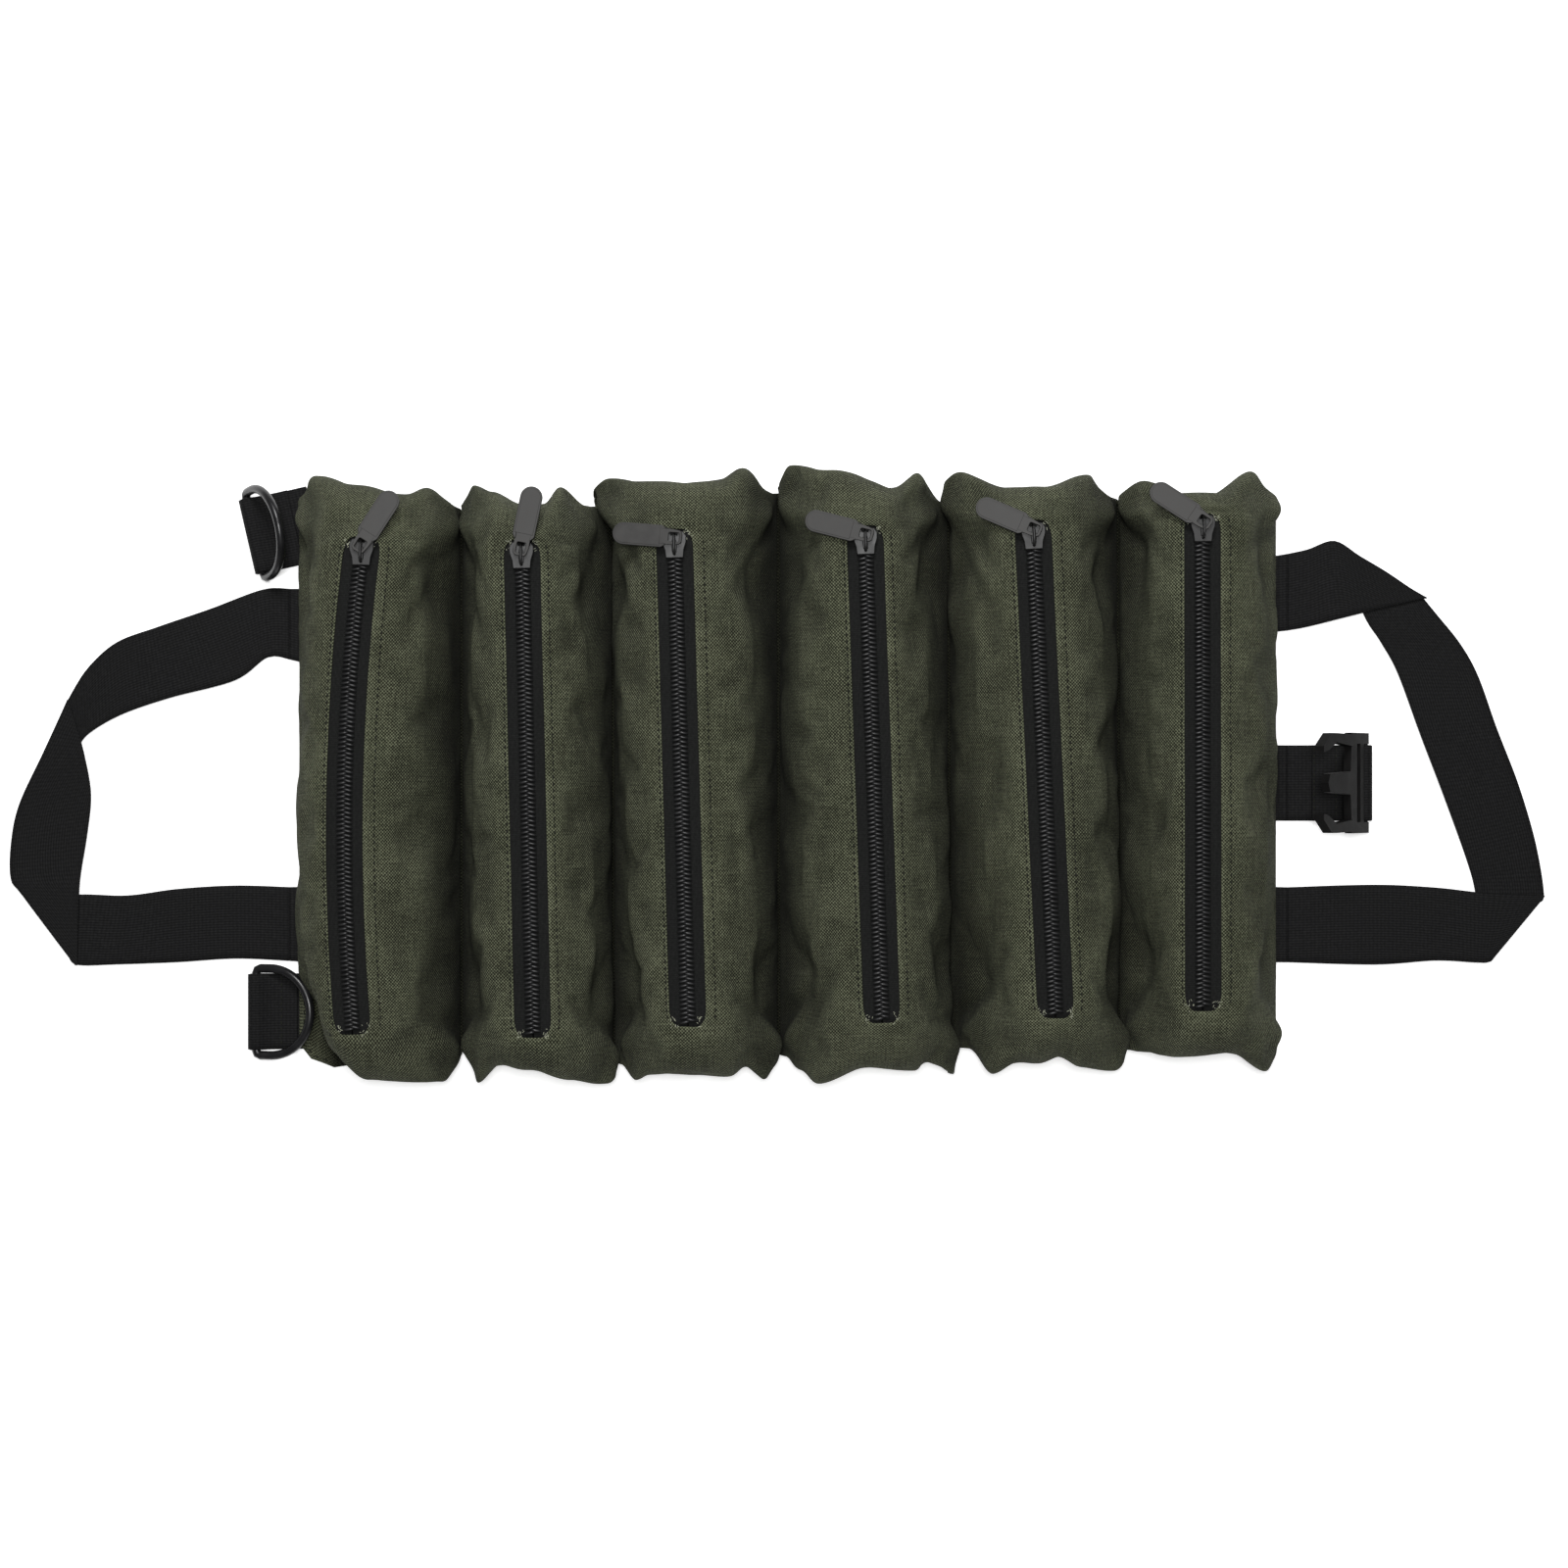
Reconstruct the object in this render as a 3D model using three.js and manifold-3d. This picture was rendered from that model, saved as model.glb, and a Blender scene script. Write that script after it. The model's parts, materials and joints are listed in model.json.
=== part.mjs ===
// Roll-up canvas tool bag: six zipped pouches side by side on a folding back panel, with a webbing handle
// at each end, two D-rings, and a side-release buckle that holds the bag when it is rolled up.
// Units are millimetres. The bag lies on its back: +X runs along the row of pouches, +Y along each pouch
// towards its closed slider, and +Z up, with the origin on the ground under the middle of the bag.
import * as THREE from "three";
import { mergeVertices } from "three/addons/utils/BufferGeometryUtils.js";
import Module from "manifold-3d";

const wasm = await Module();
wasm.setup();

// ---- Driving dimensions ----
const SEAMS = [-241, -159, -83, 0, 85.5, 170.5, 250]; // left edge, the five fold lines, right edge
const GAP = 0.3; // clearance between neighbouring pieces
const WEBBING = { width: 38, thick: 1.6 };
const PANEL = { halfLength: 145, bottom: 1.9, thick: 1.2 };
const LOWER_STRAP_Y = -75.7; // middle of the lower webbing run
const UPPER_STRAP_LEFT_Y = 74.2; // the upper run climbs from here
const UPPER_STRAP_RIGHT_Y = 90; // to here
const EDGE_X = [-242, 252]; // hinge lines of the handles, just outside the panel

const POUCH = {
  base: 3.4,
  crest: 54,
  wall: 1.6,
  halfLength: 149.5,
  flatHalfLength: 133, // the crest is level up to here, then rounds down to the end
  endHeight: 24,
  shoulder: 38,
  crestHalfWidth: 15,
  innerSlope: 0.335, // wall lean per unit of height beside a fold line
  outerSlope: 0.176, // and on the two free sides of the bag
};
const CUT_CORNER = { fromY: -92, slope: 0.34 }; // pouch 1 draws in here, beside the lower D-ring

const ZIP = { openHalfLength: 120, openHalfWidth: 8.75 };
const SLIT = { halfWidth: 0.65, top: 117, bottom: -112.5 }; // the gap that the neck of the slider runs in
const TAPE = { halfWidth: 11, halfLength: 125, bottom: 51.3, thick: 0.8 };
const CHAIN = { halfWidth: 4.2, halfLength: 119.4, bottom: 52.4, thick: 2.2 };
const SLIDER = { restY: 112.5, bottom: 49.8, plate: 1.2, top: 56.1, bailTop: 60.5, bailLegY: 3.5 };
const PULL = { thick: 1.2, pivotZ: 58, tabLength: 30, tabHalfWidth: 5.4 };

// Each pouch's zip: its middle, its lean off the Y axis, and the direction and droop of its pull.
const ZIPS = [
  { x: -203.4, y: -5.7, lean: -1.2, pull: 58, droop: 5 },
  { x: -121.2, y: -7.3, lean: 1.3, pull: 78, droop: 0 },
  { x: -47, y: -2.2, lean: 1.6, pull: 175, droop: 7 },
  { x: 45.9, y: -0.5, lean: 2, pull: 165, droop: 7 },
  { x: 128.3, y: 2.1, lean: 2.7, pull: 156, droop: 7 },
  { x: 204.8, y: 5.6, lean: 0.1, pull: 146, droop: 7 },
];

const RING = { wireR: 2.2, halfBar: 21.8, side: 7.8 };
const LOOP = { innerR: 2.5, noseX: 14.5 }; // a webbing end folded round a bar
LOOP.outerR = LOOP.innerR + WEBBING.thick;
const RING_TABS = [
  { name: "lower", x: -262.1, y: -119.2, turn: 0, tilt: 15, reach: 38 },
  { name: "upper", x: -262.7, y: 119.5, turn: 13, tilt: 54, reach: 30 },
];

const BUCKLE = { y: -4.5, barX: 293.9, barZ: 3.9, barR: 1.75, raise: 128, halfWidth: 25 };
const SOCKET = { mouthX: 14, endX: 48, barX: 56, halfWidth: 25, bottom: 0.6, top: 9.4, wall: 1.8 };
const TRAY = { fromX: 10, toX: 77, halfWidth: 29, top: 11.5 };

const rad = THREE.MathUtils.degToRad;

// ---- Solids ----
function solid(geometry) {
  const bare = geometry.index ? geometry.clone() : geometry;
  bare.deleteAttribute("normal");
  bare.deleteAttribute("uv");
  const merged = mergeVertices(bare, 1e-4);
  const vertProperties = new Float32Array(merged.attributes.position.array);
  const triVerts = new Uint32Array(merged.index.array);
  return new wasm.Manifold(new wasm.Mesh({ numProp: 3, vertProperties, triVerts }));
}

function geometryOf(manifold) {
  const mesh = manifold.getMesh();
  const geometry = new THREE.BufferGeometry();
  geometry.setAttribute("position", new THREE.BufferAttribute(mesh.vertProperties, 3));
  geometry.setIndex(new THREE.BufferAttribute(mesh.triVerts, 1));
  return geometry;
}

function join(first, ...rest) {
  return rest.reduce((all, next) => all.add(solid(next)), solid(first));
}

function shapeOf(points) {
  return new THREE.Shape(points.map(([x, y]) => new THREE.Vector2(x, y)));
}

// A flat shape raised into a plate that stands from z = bottom, its curves in so many steps.
function plate(shape, thick, bottom, curveSegments = 4) {
  const geometry = new THREE.ExtrudeGeometry(shape, { depth: thick, bevelEnabled: false, curveSegments });
  return geometry.translate(0, 0, bottom);
}

// A side profile, drawn as (x, z), widened along Y about y = middle.
function profile(shape, width, middle = 0) {
  const geometry = new THREE.ExtrudeGeometry(shape, { depth: width, bevelEnabled: false, curveSegments: 10 });
  return geometry.rotateX(Math.PI / 2).translate(0, middle + width / 2, 0);
}

function box(x0, x1, y0, y1, z0, z1) {
  const geometry = new THREE.BoxGeometry(x1 - x0, y1 - y0, z1 - z0);
  return geometry.translate((x0 + x1) / 2, (y0 + y1) / 2, (z0 + z1) / 2);
}

// A slot outline: straight sides from y0 to y1 with rounded ends of the given radius.
function slotShape(halfWidth, y0, y1, endRadius = halfWidth, Kind = THREE.Shape) {
  const shape = new Kind();
  const inset = halfWidth - endRadius;
  shape.moveTo(halfWidth, y0 + endRadius);
  shape.lineTo(halfWidth, y1 - endRadius);
  shape.absarc(inset, y1 - endRadius, endRadius, 0, Math.PI / 2, false);
  if (inset > 0) shape.lineTo(-inset, y1);
  shape.absarc(-inset, y1 - endRadius, endRadius, Math.PI / 2, Math.PI, false);
  shape.lineTo(-halfWidth, y0 + endRadius);
  shape.absarc(-inset, y0 + endRadius, endRadius, Math.PI, 1.5 * Math.PI, false);
  if (inset > 0) shape.lineTo(inset, y0);
  shape.absarc(inset, y0 + endRadius, endRadius, 1.5 * Math.PI, 2 * Math.PI, false);
  return shape;
}

// Skins a row of equal rings of [x, y, z] points, running towards +Y, into one closed body.
function loft(rings) {
  const count = rings[0].length;
  const index = [];
  rings.slice(1).forEach((_, r) => {
    for (let i = 0; i < count; i += 1) {
      const j = (i + 1) % count;
      const [a, b, c, d] = [r * count + i, r * count + j, (r + 1) * count + i, (r + 1) * count + j];
      index.push(a, b, c, b, d, c);
    }
  });
  const last = (rings.length - 1) * count;
  for (let i = 1; i < count - 1; i += 1) {
    index.push(0, i + 1, i);
    index.push(last, last + i, last + i + 1);
  }
  const geometry = new THREE.BufferGeometry();
  geometry.setAttribute("position", new THREE.Float32BufferAttribute(rings.flat(2), 3));
  geometry.setIndex(index);
  return geometry;
}

// ---- Scene helpers ----
const bag = new THREE.Group();

function material(color, roughness, metalness = 0) {
  return () => new THREE.MeshStandardMaterial({ color, roughness, metalness });
}
const canvas = material(0x33372a, 0.95);
const webbing = material(0x0b0b0c, 0.9);
const zipTape = material(0x0e0e0f, 0.9);
const coil = material(0x17181a, 0.45);
const blackMetal = material(0x26282b, 0.35, 0.6);
const plastic = material(0x101112, 0.4);

function add(parent, name, geometry, finish) {
  const mesh = new THREE.Mesh(geometry, finish());
  mesh.name = name;
  parent.add(mesh);
  return mesh;
}

// ---- Back panel and its webbing ----
function panelGeometry(i) {
  const [x0, x1] = [SEAMS[i] + GAP, SEAMS[i + 1] - GAP];
  const { halfLength, bottom, thick } = PANEL;
  const sheet = box(x0, x1, -halfLength, halfLength, bottom, bottom + thick);
  if (i !== 3) return sheet;
  // Panel 4 bulges up over the buckle socket that lies under it.
  const { fromX, toX, halfWidth, top } = TRAY;
  const [y0, y1] = [BUCKLE.y - halfWidth, BUCKLE.y + halfWidth];
  const bulge = box(fromX, toX, y0, y1, bottom, top);
  const hollow = box(fromX + thick, toX - thick, y0 + thick, y1 - thick, bottom - 1, top - thick);
  return geometryOf(join(sheet, bulge).subtract(solid(hollow)));
}

// Y of the upper webbing run's middle at a place along the bag.
function upperStrapY(x) {
  const share = (x - SEAMS[0]) / (SEAMS[6] - SEAMS[0]);
  return UPPER_STRAP_LEFT_Y + share * (UPPER_STRAP_RIGHT_Y - UPPER_STRAP_LEFT_Y);
}

function strapGeometry(x0, x1, y0, y1) {
  const half = WEBBING.width / 2;
  const outline = shapeOf([[x0, y0 - half], [x1, y1 - half], [x1, y1 + half], [x0, y0 + half]]);
  return plate(outline, WEBBING.thick, 0);
}

function addPanel(i) {
  const [outLeft, outRight] = [0.8, 1.7]; // the end segments run on under the handle hinges
  const x0 = i === 0 ? SEAMS[0] - outLeft : SEAMS[i] + GAP;
  const x1 = i === 5 ? SEAMS[6] + outRight : SEAMS[i + 1] - GAP;
  add(bag, `back_panel_${i + 1}`, panelGeometry(i), canvas);
  const upper = strapGeometry(x0, x1, upperStrapY(x0), upperStrapY(x1));
  add(bag, `upper_back_strap_${i + 1}`, upper, webbing);
  add(bag, `lower_back_strap_${i + 1}`, strapGeometry(x0, x1, LOWER_STRAP_Y, LOWER_STRAP_Y), webbing);
}

// ---- Pouches ----
// Height of a pouch's crest at y: level, then a quarter ellipse down to the end.
function crestAt(y, inset) {
  const { halfLength, flatHalfLength, crest, endHeight } = POUCH;
  const reach = halfLength - flatHalfLength;
  const along = Math.min(1, Math.max(0, Math.abs(y) - flatHalfLength) / reach);
  return endHeight + (crest - endHeight) * Math.sqrt(1 - along * along) - inset;
}

// One cross-section of pouch i at y. For the inside, every side of it is moved in by the wall.
function pouchRing(i, y, inset) {
  const { base, crest, shoulder, crestHalfWidth, innerSlope, outerSlope, wall } = POUCH;
  const bottom = inset ? base - 5 : base;
  const zip = ZIPS[i];
  const zipX = zip.x - Math.tan(rad(zip.lean)) * (y - zip.y);
  const leftSlope = i === 0 ? outerSlope : innerSlope;
  const rightSlope = i === 5 ? outerSlope : innerSlope;
  const drawnIn = i === 0 ? Math.max(0, CUT_CORNER.fromY - y) * CUT_CORNER.slope : 0;
  const left = SEAMS[i] + GAP + drawnIn + inset;
  const right = SEAMS[i + 1] - GAP - inset;
  const top = crestAt(y, inset);
  const shrink = top / (crest - inset);
  const side = (slope) => slope * (shoulder - base) * shrink;
  const [leftTop, rightTop] = [zipX - crestHalfWidth, zipX + crestHalfWidth];
  const [leftShoulder, rightShoulder] = [left + side(leftSlope), right - side(rightSlope)];
  const rounding = 0.35;
  const mix = THREE.MathUtils.lerp;
  const high = top - 5 * shrink;
  const low = shoulder * shrink - inset;
  const dip = base - bottom;
  const place = y - Math.sign(y) * inset;
  const outline = [
    [left - leftSlope * dip, bottom],
    [leftShoulder, low],
    [mix(leftShoulder, leftTop, rounding), high],
    [Math.max(leftTop, leftShoulder + wall), top],
    [Math.min(rightTop, rightShoulder - wall), top],
    [mix(rightShoulder, rightTop, rounding), high],
    [rightShoulder, low],
    [right + rightSlope * dip, bottom],
  ];
  return outline.map(([x, z]) => [x, place, z]);
}

function pouchGeometry(i) {
  const { halfLength, flatHalfLength, wall, crest } = POUCH;
  const ends = [halfLength, halfLength - 3.5, halfLength - 11.5, flatHalfLength];
  const middle = i === 0 ? [CUT_CORNER.fromY] : [];
  const stations = [...ends.map((y) => -y), ...middle, ...ends.toReversed()];
  const outer = solid(loft(stations.map((y) => pouchRing(i, y, 0))));
  const inner = solid(loft(stations.map((y) => pouchRing(i, y, wall))));
  const { openHalfLength, openHalfWidth } = ZIP;
  const slot = plate(slotShape(openHalfWidth, -openHalfLength, openHalfLength), 20, crest - 10);
  const { x, y, lean } = ZIPS[i];
  slot.rotateZ(rad(lean)).translate(x, y, 0);
  return geometryOf(outer.subtract(inner).subtract(solid(slot)));
}

// ---- Zips ----
// A flat bar split by the narrow slit that the slider's neck runs in.
function slitBar({ halfWidth, halfLength, bottom, thick }, endRadius) {
  const shape = slotShape(halfWidth, -halfLength, halfLength, endRadius);
  shape.holes.push(slotShape(SLIT.halfWidth, SLIT.bottom, SLIT.top, SLIT.halfWidth, THREE.Path));
  return plate(shape, thick, bottom, 2);
}

// The slider, drawn about its own middle: two plates, the neck between them, side rims and the bail.
function sliderGeometry() {
  const { bottom, plate: thick, top, bailTop, bailLegY } = SLIDER;
  const outline = shapeOf([
    [-4.2, -6.3], [4.2, -6.3], [4.8, -1.5], [5.8, 2], [5.8, 4.6], [3.6, 6.3], [-3.6, 6.3], [-5.8, 4.6],
    [-5.8, 2], [-4.8, -1.5],
  ]);
  const neck = box(-0.35, 0.35, 0.5, 4, bottom + thick / 2, top - thick / 2);
  const body = join(plate(outline, thick, top - thick), plate(outline, thick, bottom), neck);
  const rims = [-1, 1].map((side) => {
    const [x0, x1] = [side * 4.55, side * 5.75].sort((a, b) => a - b);
    return box(x0, x1, -1, 2.4, CHAIN.bottom + 0.15, top - thick / 2);
  });
  const foot = top - thick / 2;
  const [front, back, leg] = [bailLegY + 0.7, -5, 1.4]; // outer faces of the bail's legs, and their thickness
  const [bend, bar] = [1.6, 1.2]; // reach of its rounded corners, and the thickness of its top bar
  const arch = new THREE.Shape();
  arch.moveTo(front, foot);
  arch.lineTo(front, bailTop - bend);
  arch.quadraticCurveTo(front, bailTop, front - bend, bailTop);
  arch.lineTo(back + bend, bailTop);
  arch.quadraticCurveTo(back, bailTop, back, bailTop - bend);
  arch.lineTo(back, foot);
  arch.lineTo(back + leg, foot);
  arch.lineTo(back + leg, bailTop - bar);
  arch.lineTo(front - leg, bailTop - bar);
  arch.lineTo(front - leg, foot);
  const bail = new THREE.ExtrudeGeometry(arch, { depth: 1.8, bevelEnabled: false, curveSegments: 4 });
  bail.rotateY(Math.PI / 2).rotateX(Math.PI / 2).translate(-0.9, 0, 0);
  return geometryOf(rims.reduce((all, rim) => all.add(solid(rim)), body).add(solid(bail)));
}

// The pull tab, drawn about the middle of its eye and pointing along +X.
function pullGeometry() {
  const { thick, tabLength, tabHalfWidth } = PULL;
  const shape = new THREE.Shape();
  const eye = { end: -4, halfWidth: 3.4, shoulder: 4.6 };
  shape.moveTo(eye.end + 1.2, -eye.halfWidth);
  shape.lineTo(eye.shoulder - 1, -eye.halfWidth);
  shape.lineTo(eye.shoulder, -tabHalfWidth + 0.8);
  shape.lineTo(tabLength - tabHalfWidth, -tabHalfWidth);
  shape.absarc(tabLength - tabHalfWidth, 0, tabHalfWidth, -Math.PI / 2, Math.PI / 2, false);
  shape.lineTo(eye.shoulder, tabHalfWidth - 0.8);
  shape.lineTo(eye.shoulder - 1, eye.halfWidth);
  shape.lineTo(eye.end + 1.2, eye.halfWidth);
  shape.lineTo(eye.end, eye.halfWidth - 1.2);
  shape.lineTo(eye.end, -eye.halfWidth + 1.2);
  const hole = [
    [-2.6, 1.7], [-2.1, 2.2], [2.1, 2.2], [2.6, 1.7], [2.6, -1.7], [2.1, -2.2], [-2.1, -2.2], [-2.6, -1.7],
  ];
  shape.holes.push(new THREE.Path(hole.map(([x, y]) => new THREE.Vector2(x, y))));
  return plate(shape, thick, -thick / 2);
}

function addPouch(i) {
  const number = i + 1;
  add(bag, `pouch_${number}`, pouchGeometry(i), canvas);
  const { x, y, lean, pull, droop } = ZIPS[i];
  const zip = new THREE.Group();
  zip.position.set(x, y, 0);
  zip.rotation.z = rad(lean);
  bag.add(zip);
  add(zip, `zipper_tape_${number}`, slitBar(TAPE, 2), zipTape);
  add(zip, `zipper_chain_${number}`, slitBar(CHAIN, 1.4), coil);
  add(zip, `slider_${number}`, sliderGeometry(), blackMetal).position.y = SLIDER.restY;
  const swivel = new THREE.Group();
  swivel.position.set(0, SLIDER.restY + SLIDER.bailLegY, PULL.pivotZ);
  swivel.rotation.z = rad(pull - lean);
  zip.add(swivel);
  add(swivel, `pull_${number}`, pullGeometry(), blackMetal).rotation.y = rad(droop);
}

// ---- Handles: flat webbing loops, laid out with their corner folds ----
function handleGeometry(outer, inner) {
  return plate(shapeOf([...outer, ...inner]), WEBBING.thick, 0);
}

function addHandles() {
  const half = WEBBING.width / 2;
  const lower = [LOWER_STRAP_Y - half, LOWER_STRAP_Y + half];
  const [left, right] = [EDGE_X[0] - 0.2, EDGE_X[1] + 0.2];
  const leftOuter = [
    [left, 93.2], [-265, 89], [-328, 68], [-350, 49], [-358, 25], [-386, -20], [-386, -54], [-354, lower[0]],
    [left, lower[0]],
  ];
  const leftInner = [
    [left, lower[1]], [-312, lower[1]], [-350.5, -60], [-346.5, -12], [-346.5, 15], [-318, 33.5], [-266, 51],
    [left, 55.2],
  ];
  add(bag, "handle_left", handleGeometry(leftOuter, leftInner), webbing);
  const rightOuter = [
    [right, lower[0]], [357, lower[0]], [386, -58], [373, -10], [358, 34.5], [343, 64], [331, 86], [299, 106],
    [279, 117.5], [right, 109],
  ];
  const rightInner = [
    [right, 71], [274, 76.5], [295, 81], [313.5, 44.5], [328.5, 0], [341, -34.5], [349.5, lower[1]],
    [right, lower[1]],
  ];
  add(bag, "handle_right", handleGeometry(rightOuter, rightInner), webbing);
}

// ---- D-rings on their webbing tabs ----
function ringGeometry() {
  const { wireR, halfBar, side } = RING;
  const bar = new THREE.CylinderGeometry(wireR, wireR, 2 * (halfBar + 1), 10);
  const path = new THREE.CurvePath();
  const corner = (sign) => new THREE.Vector3(side, sign * halfBar, 0);
  path.add(new THREE.LineCurve3(new THREE.Vector3(0, -halfBar, 0), corner(-1)));
  class Bow extends THREE.Curve {
    getPoint(t) {
      const angle = (t - 0.5) * Math.PI;
      return new THREE.Vector3(side + halfBar * Math.cos(angle), halfBar * Math.sin(angle), 0);
    }
  }
  path.add(new Bow());
  path.add(new THREE.LineCurve3(corner(1), new THREE.Vector3(0, halfBar, 0)));
  const wire = new THREE.Shape();
  wire.absarc(0, 0, wireR, 0, 2 * Math.PI, false);
  const bow = new THREE.ExtrudeGeometry(wire, { steps: 22, extrudePath: path, curveSegments: 4 });
  return geometryOf(join(bar, bow));
}

// A webbing end folded round a bar at (0, outerR) and stitched back on itself, as a side profile.
function loopTab(reach, width) {
  const { innerR, outerR, noseX } = LOOP;
  const shape = new THREE.Shape();
  const start = rad(70); // where the top layer leaves the bar
  shape.moveTo(0, 0);
  shape.lineTo(reach, 0);
  shape.lineTo(reach, WEBBING.thick);
  shape.lineTo(noseX, WEBBING.thick);
  shape.lineTo(noseX, 2 * WEBBING.thick);
  shape.lineTo(noseX - 1, 2 * WEBBING.thick);
  shape.absarc(0, outerR, outerR, start, 1.5 * Math.PI, false);
  const hole = new THREE.Path();
  hole.absarc(0, outerR, innerR, 0, 2 * Math.PI, true);
  shape.holes.push(hole);
  return profile(shape, width);
}

function addRing({ name, x, y, turn, tilt, reach }) {
  const place = new THREE.Group();
  place.position.set(x, y, 0);
  place.rotation.z = rad(turn);
  bag.add(place);
  add(place, `d_ring_tab_${name}`, loopTab(reach, WEBBING.width), webbing);
  const ring = add(place, `d_ring_${name}`, ringGeometry(), blackMetal);
  ring.position.z = LOOP.outerR;
  ring.rotation.y = -rad(tilt);
}

// ---- Side-release buckle ----
// The prong half, drawn about its webbing bar and pointing along +X.
function pronged() {
  const { barR, halfWidth } = BUCKLE;
  const frameHalf = 2;
  const frame = shapeOf([[-1, -halfWidth], [18, -halfWidth], [20, 0], [18, halfWidth], [-1, halfWidth]]);
  const slots = [[-3, 4.6], [8.4, 12.4]].map(([x0, x1]) => {
    return box(x0, x1, -19.6, 19.6, -4, 4);
  });
  const bar = new THREE.CylinderGeometry(barR, barR, 42, 10);
  const arm = (side) => {
    const points = [[16, 24], [34, 24.5], [41, 24.5], [50, 18], [50, 15], [44, 16], [36, 20], [16, 18]];
    const outline = points.map(([x, y]) => [x, side * y]);
    if (side < 0) outline.reverse();
    return plate(shapeOf(outline), 5, -2.5);
  };
  const tongue = plate(shapeOf([[16, -6], [42, -4.5], [44, 0], [42, 4.5], [16, 6]]), 4, -2);
  let body = solid(plate(frame, 2 * frameHalf, -frameHalf));
  slots.forEach((slot) => {
    body = body.subtract(solid(slot));
  });
  [bar, arm(1), arm(-1), tongue].forEach((piece) => {
    body = body.add(solid(piece));
  });
  return geometryOf(body);
}

// The socket half: a flat box open at the mouth, with a window each side, and its webbing bar.
function socketGeometry() {
  const { mouthX, endX, barX, halfWidth, bottom, top, wall } = SOCKET;
  const shell = box(mouthX, endX, -halfWidth, halfWidth, bottom, top);
  const hollow = box(mouthX - 1, endX - 3, wall - halfWidth, halfWidth - wall, bottom + 1.2, top - 1.2);
  const windows = box(mouthX + 14, endX - 6, -halfWidth - 1, halfWidth + 1, bottom + 2, top - 2);
  const cheeks = [-1, 1].map((side) => {
    const [y0, y1] = [side * 19.6, side * halfWidth].sort((a, b) => a - b);
    return box(endX - 1, barX + 2, y0, y1, LOOP.outerR - 2.2, LOOP.outerR + 2.2);
  });
  const bar = new THREE.CylinderGeometry(LOOP.innerR - GAP, LOOP.innerR - GAP, 42, 10);
  bar.translate(barX, 0, LOOP.outerR);
  let body = solid(shell).subtract(solid(hollow)).subtract(solid(windows));
  [...cheeks, bar].forEach((piece) => {
    body = body.add(solid(piece));
  });
  return geometryOf(body).translate(0, BUCKLE.y, 0);
}

function addBuckle() {
  const { y, barX, barZ, raise } = BUCKLE;
  const { width, thick } = WEBBING;
  const anchor = box(214, EDGE_X[1] - 0.8, y - width / 2, y + width / 2, 0, thick);
  add(bag, "buckle_strap_anchor", anchor, webbing);
  const strap = new THREE.Shape();
  const start = EDGE_X[1] - 0.2;
  strap.moveTo(start, 0);
  strap.lineTo(barX, 0);
  strap.absarc(barX, barZ, barZ, -Math.PI / 2, rad(150), false);
  strap.absarc(barX, barZ, barZ - thick, rad(150), -Math.PI / 2, true);
  strap.lineTo(start, thick);
  add(bag, "buckle_strap", profile(strap, width, y), webbing);
  const prongs = add(bag, "buckle_male", pronged(), plastic);
  prongs.position.set(barX, y, barZ);
  prongs.rotation.y = -rad(raise);
  add(bag, "buckle_female", socketGeometry(), plastic);
  const tab = loopTab(28, width).translate(SOCKET.barX, y, 0);
  add(bag, "buckle_female_tab", tab, webbing);
}

for (let i = 0; i < 6; i += 1) {
  addPanel(i);
  addPouch(i);
}
addHandles();
RING_TABS.forEach(addRing);
addBuckle();

export default bag;
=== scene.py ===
"""Looks for the roll-up canvas tool bag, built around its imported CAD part.

Lengths are in millimetres, and become metres where a mesh is made. The bag lies on its back: X runs
along the row of pouches, Y along each pouch towards its slider, and Z up.
"""
import json
import math
import random

import bpy
from mathutils import Matrix, Vector
from mathutils.noise import noise


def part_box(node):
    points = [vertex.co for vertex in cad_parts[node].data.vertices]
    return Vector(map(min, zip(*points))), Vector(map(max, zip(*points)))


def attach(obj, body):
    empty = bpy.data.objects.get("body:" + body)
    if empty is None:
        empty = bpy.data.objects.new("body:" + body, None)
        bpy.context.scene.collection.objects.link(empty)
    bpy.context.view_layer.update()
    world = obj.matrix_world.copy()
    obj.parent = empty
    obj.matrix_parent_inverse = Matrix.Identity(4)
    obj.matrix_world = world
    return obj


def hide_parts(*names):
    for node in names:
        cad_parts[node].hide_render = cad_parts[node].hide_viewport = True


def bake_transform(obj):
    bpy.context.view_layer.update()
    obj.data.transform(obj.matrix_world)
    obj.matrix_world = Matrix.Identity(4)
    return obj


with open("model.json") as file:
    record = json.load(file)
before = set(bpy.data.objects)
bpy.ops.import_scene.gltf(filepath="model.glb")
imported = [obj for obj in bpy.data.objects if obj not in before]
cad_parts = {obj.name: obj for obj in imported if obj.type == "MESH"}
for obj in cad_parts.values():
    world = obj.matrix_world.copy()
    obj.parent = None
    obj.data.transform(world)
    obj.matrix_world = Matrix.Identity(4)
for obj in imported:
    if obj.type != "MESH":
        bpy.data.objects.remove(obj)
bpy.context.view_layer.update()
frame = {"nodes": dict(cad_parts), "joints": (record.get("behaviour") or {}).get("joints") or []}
MM = 0.001
JOINTS = {joint["name"]: joint for joint in frame["joints"]}
NUMBERS = range(1, 7)

# ---- Camera and studio ----
CAMERA = {"place": (0.0027, -0.005, 1.3), "lens": 59.3, "sensor": 36}
LIGHTS = [("key", (-0.12, 1.05, 1.5), 0.6, 20), ("top", (0.0, 0.1, 1.9), 0.5, 21)]  # place, size, watts
WORLD_STRENGTH = 0.12
PAPER = {"half": 8, "z": -0.0004, "tone": 0.93, "glow": 0.45}


def add_object(name, data):
    made = bpy.data.objects.new(name, data)
    bpy.context.scene.collection.objects.link(made)
    return made


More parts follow.
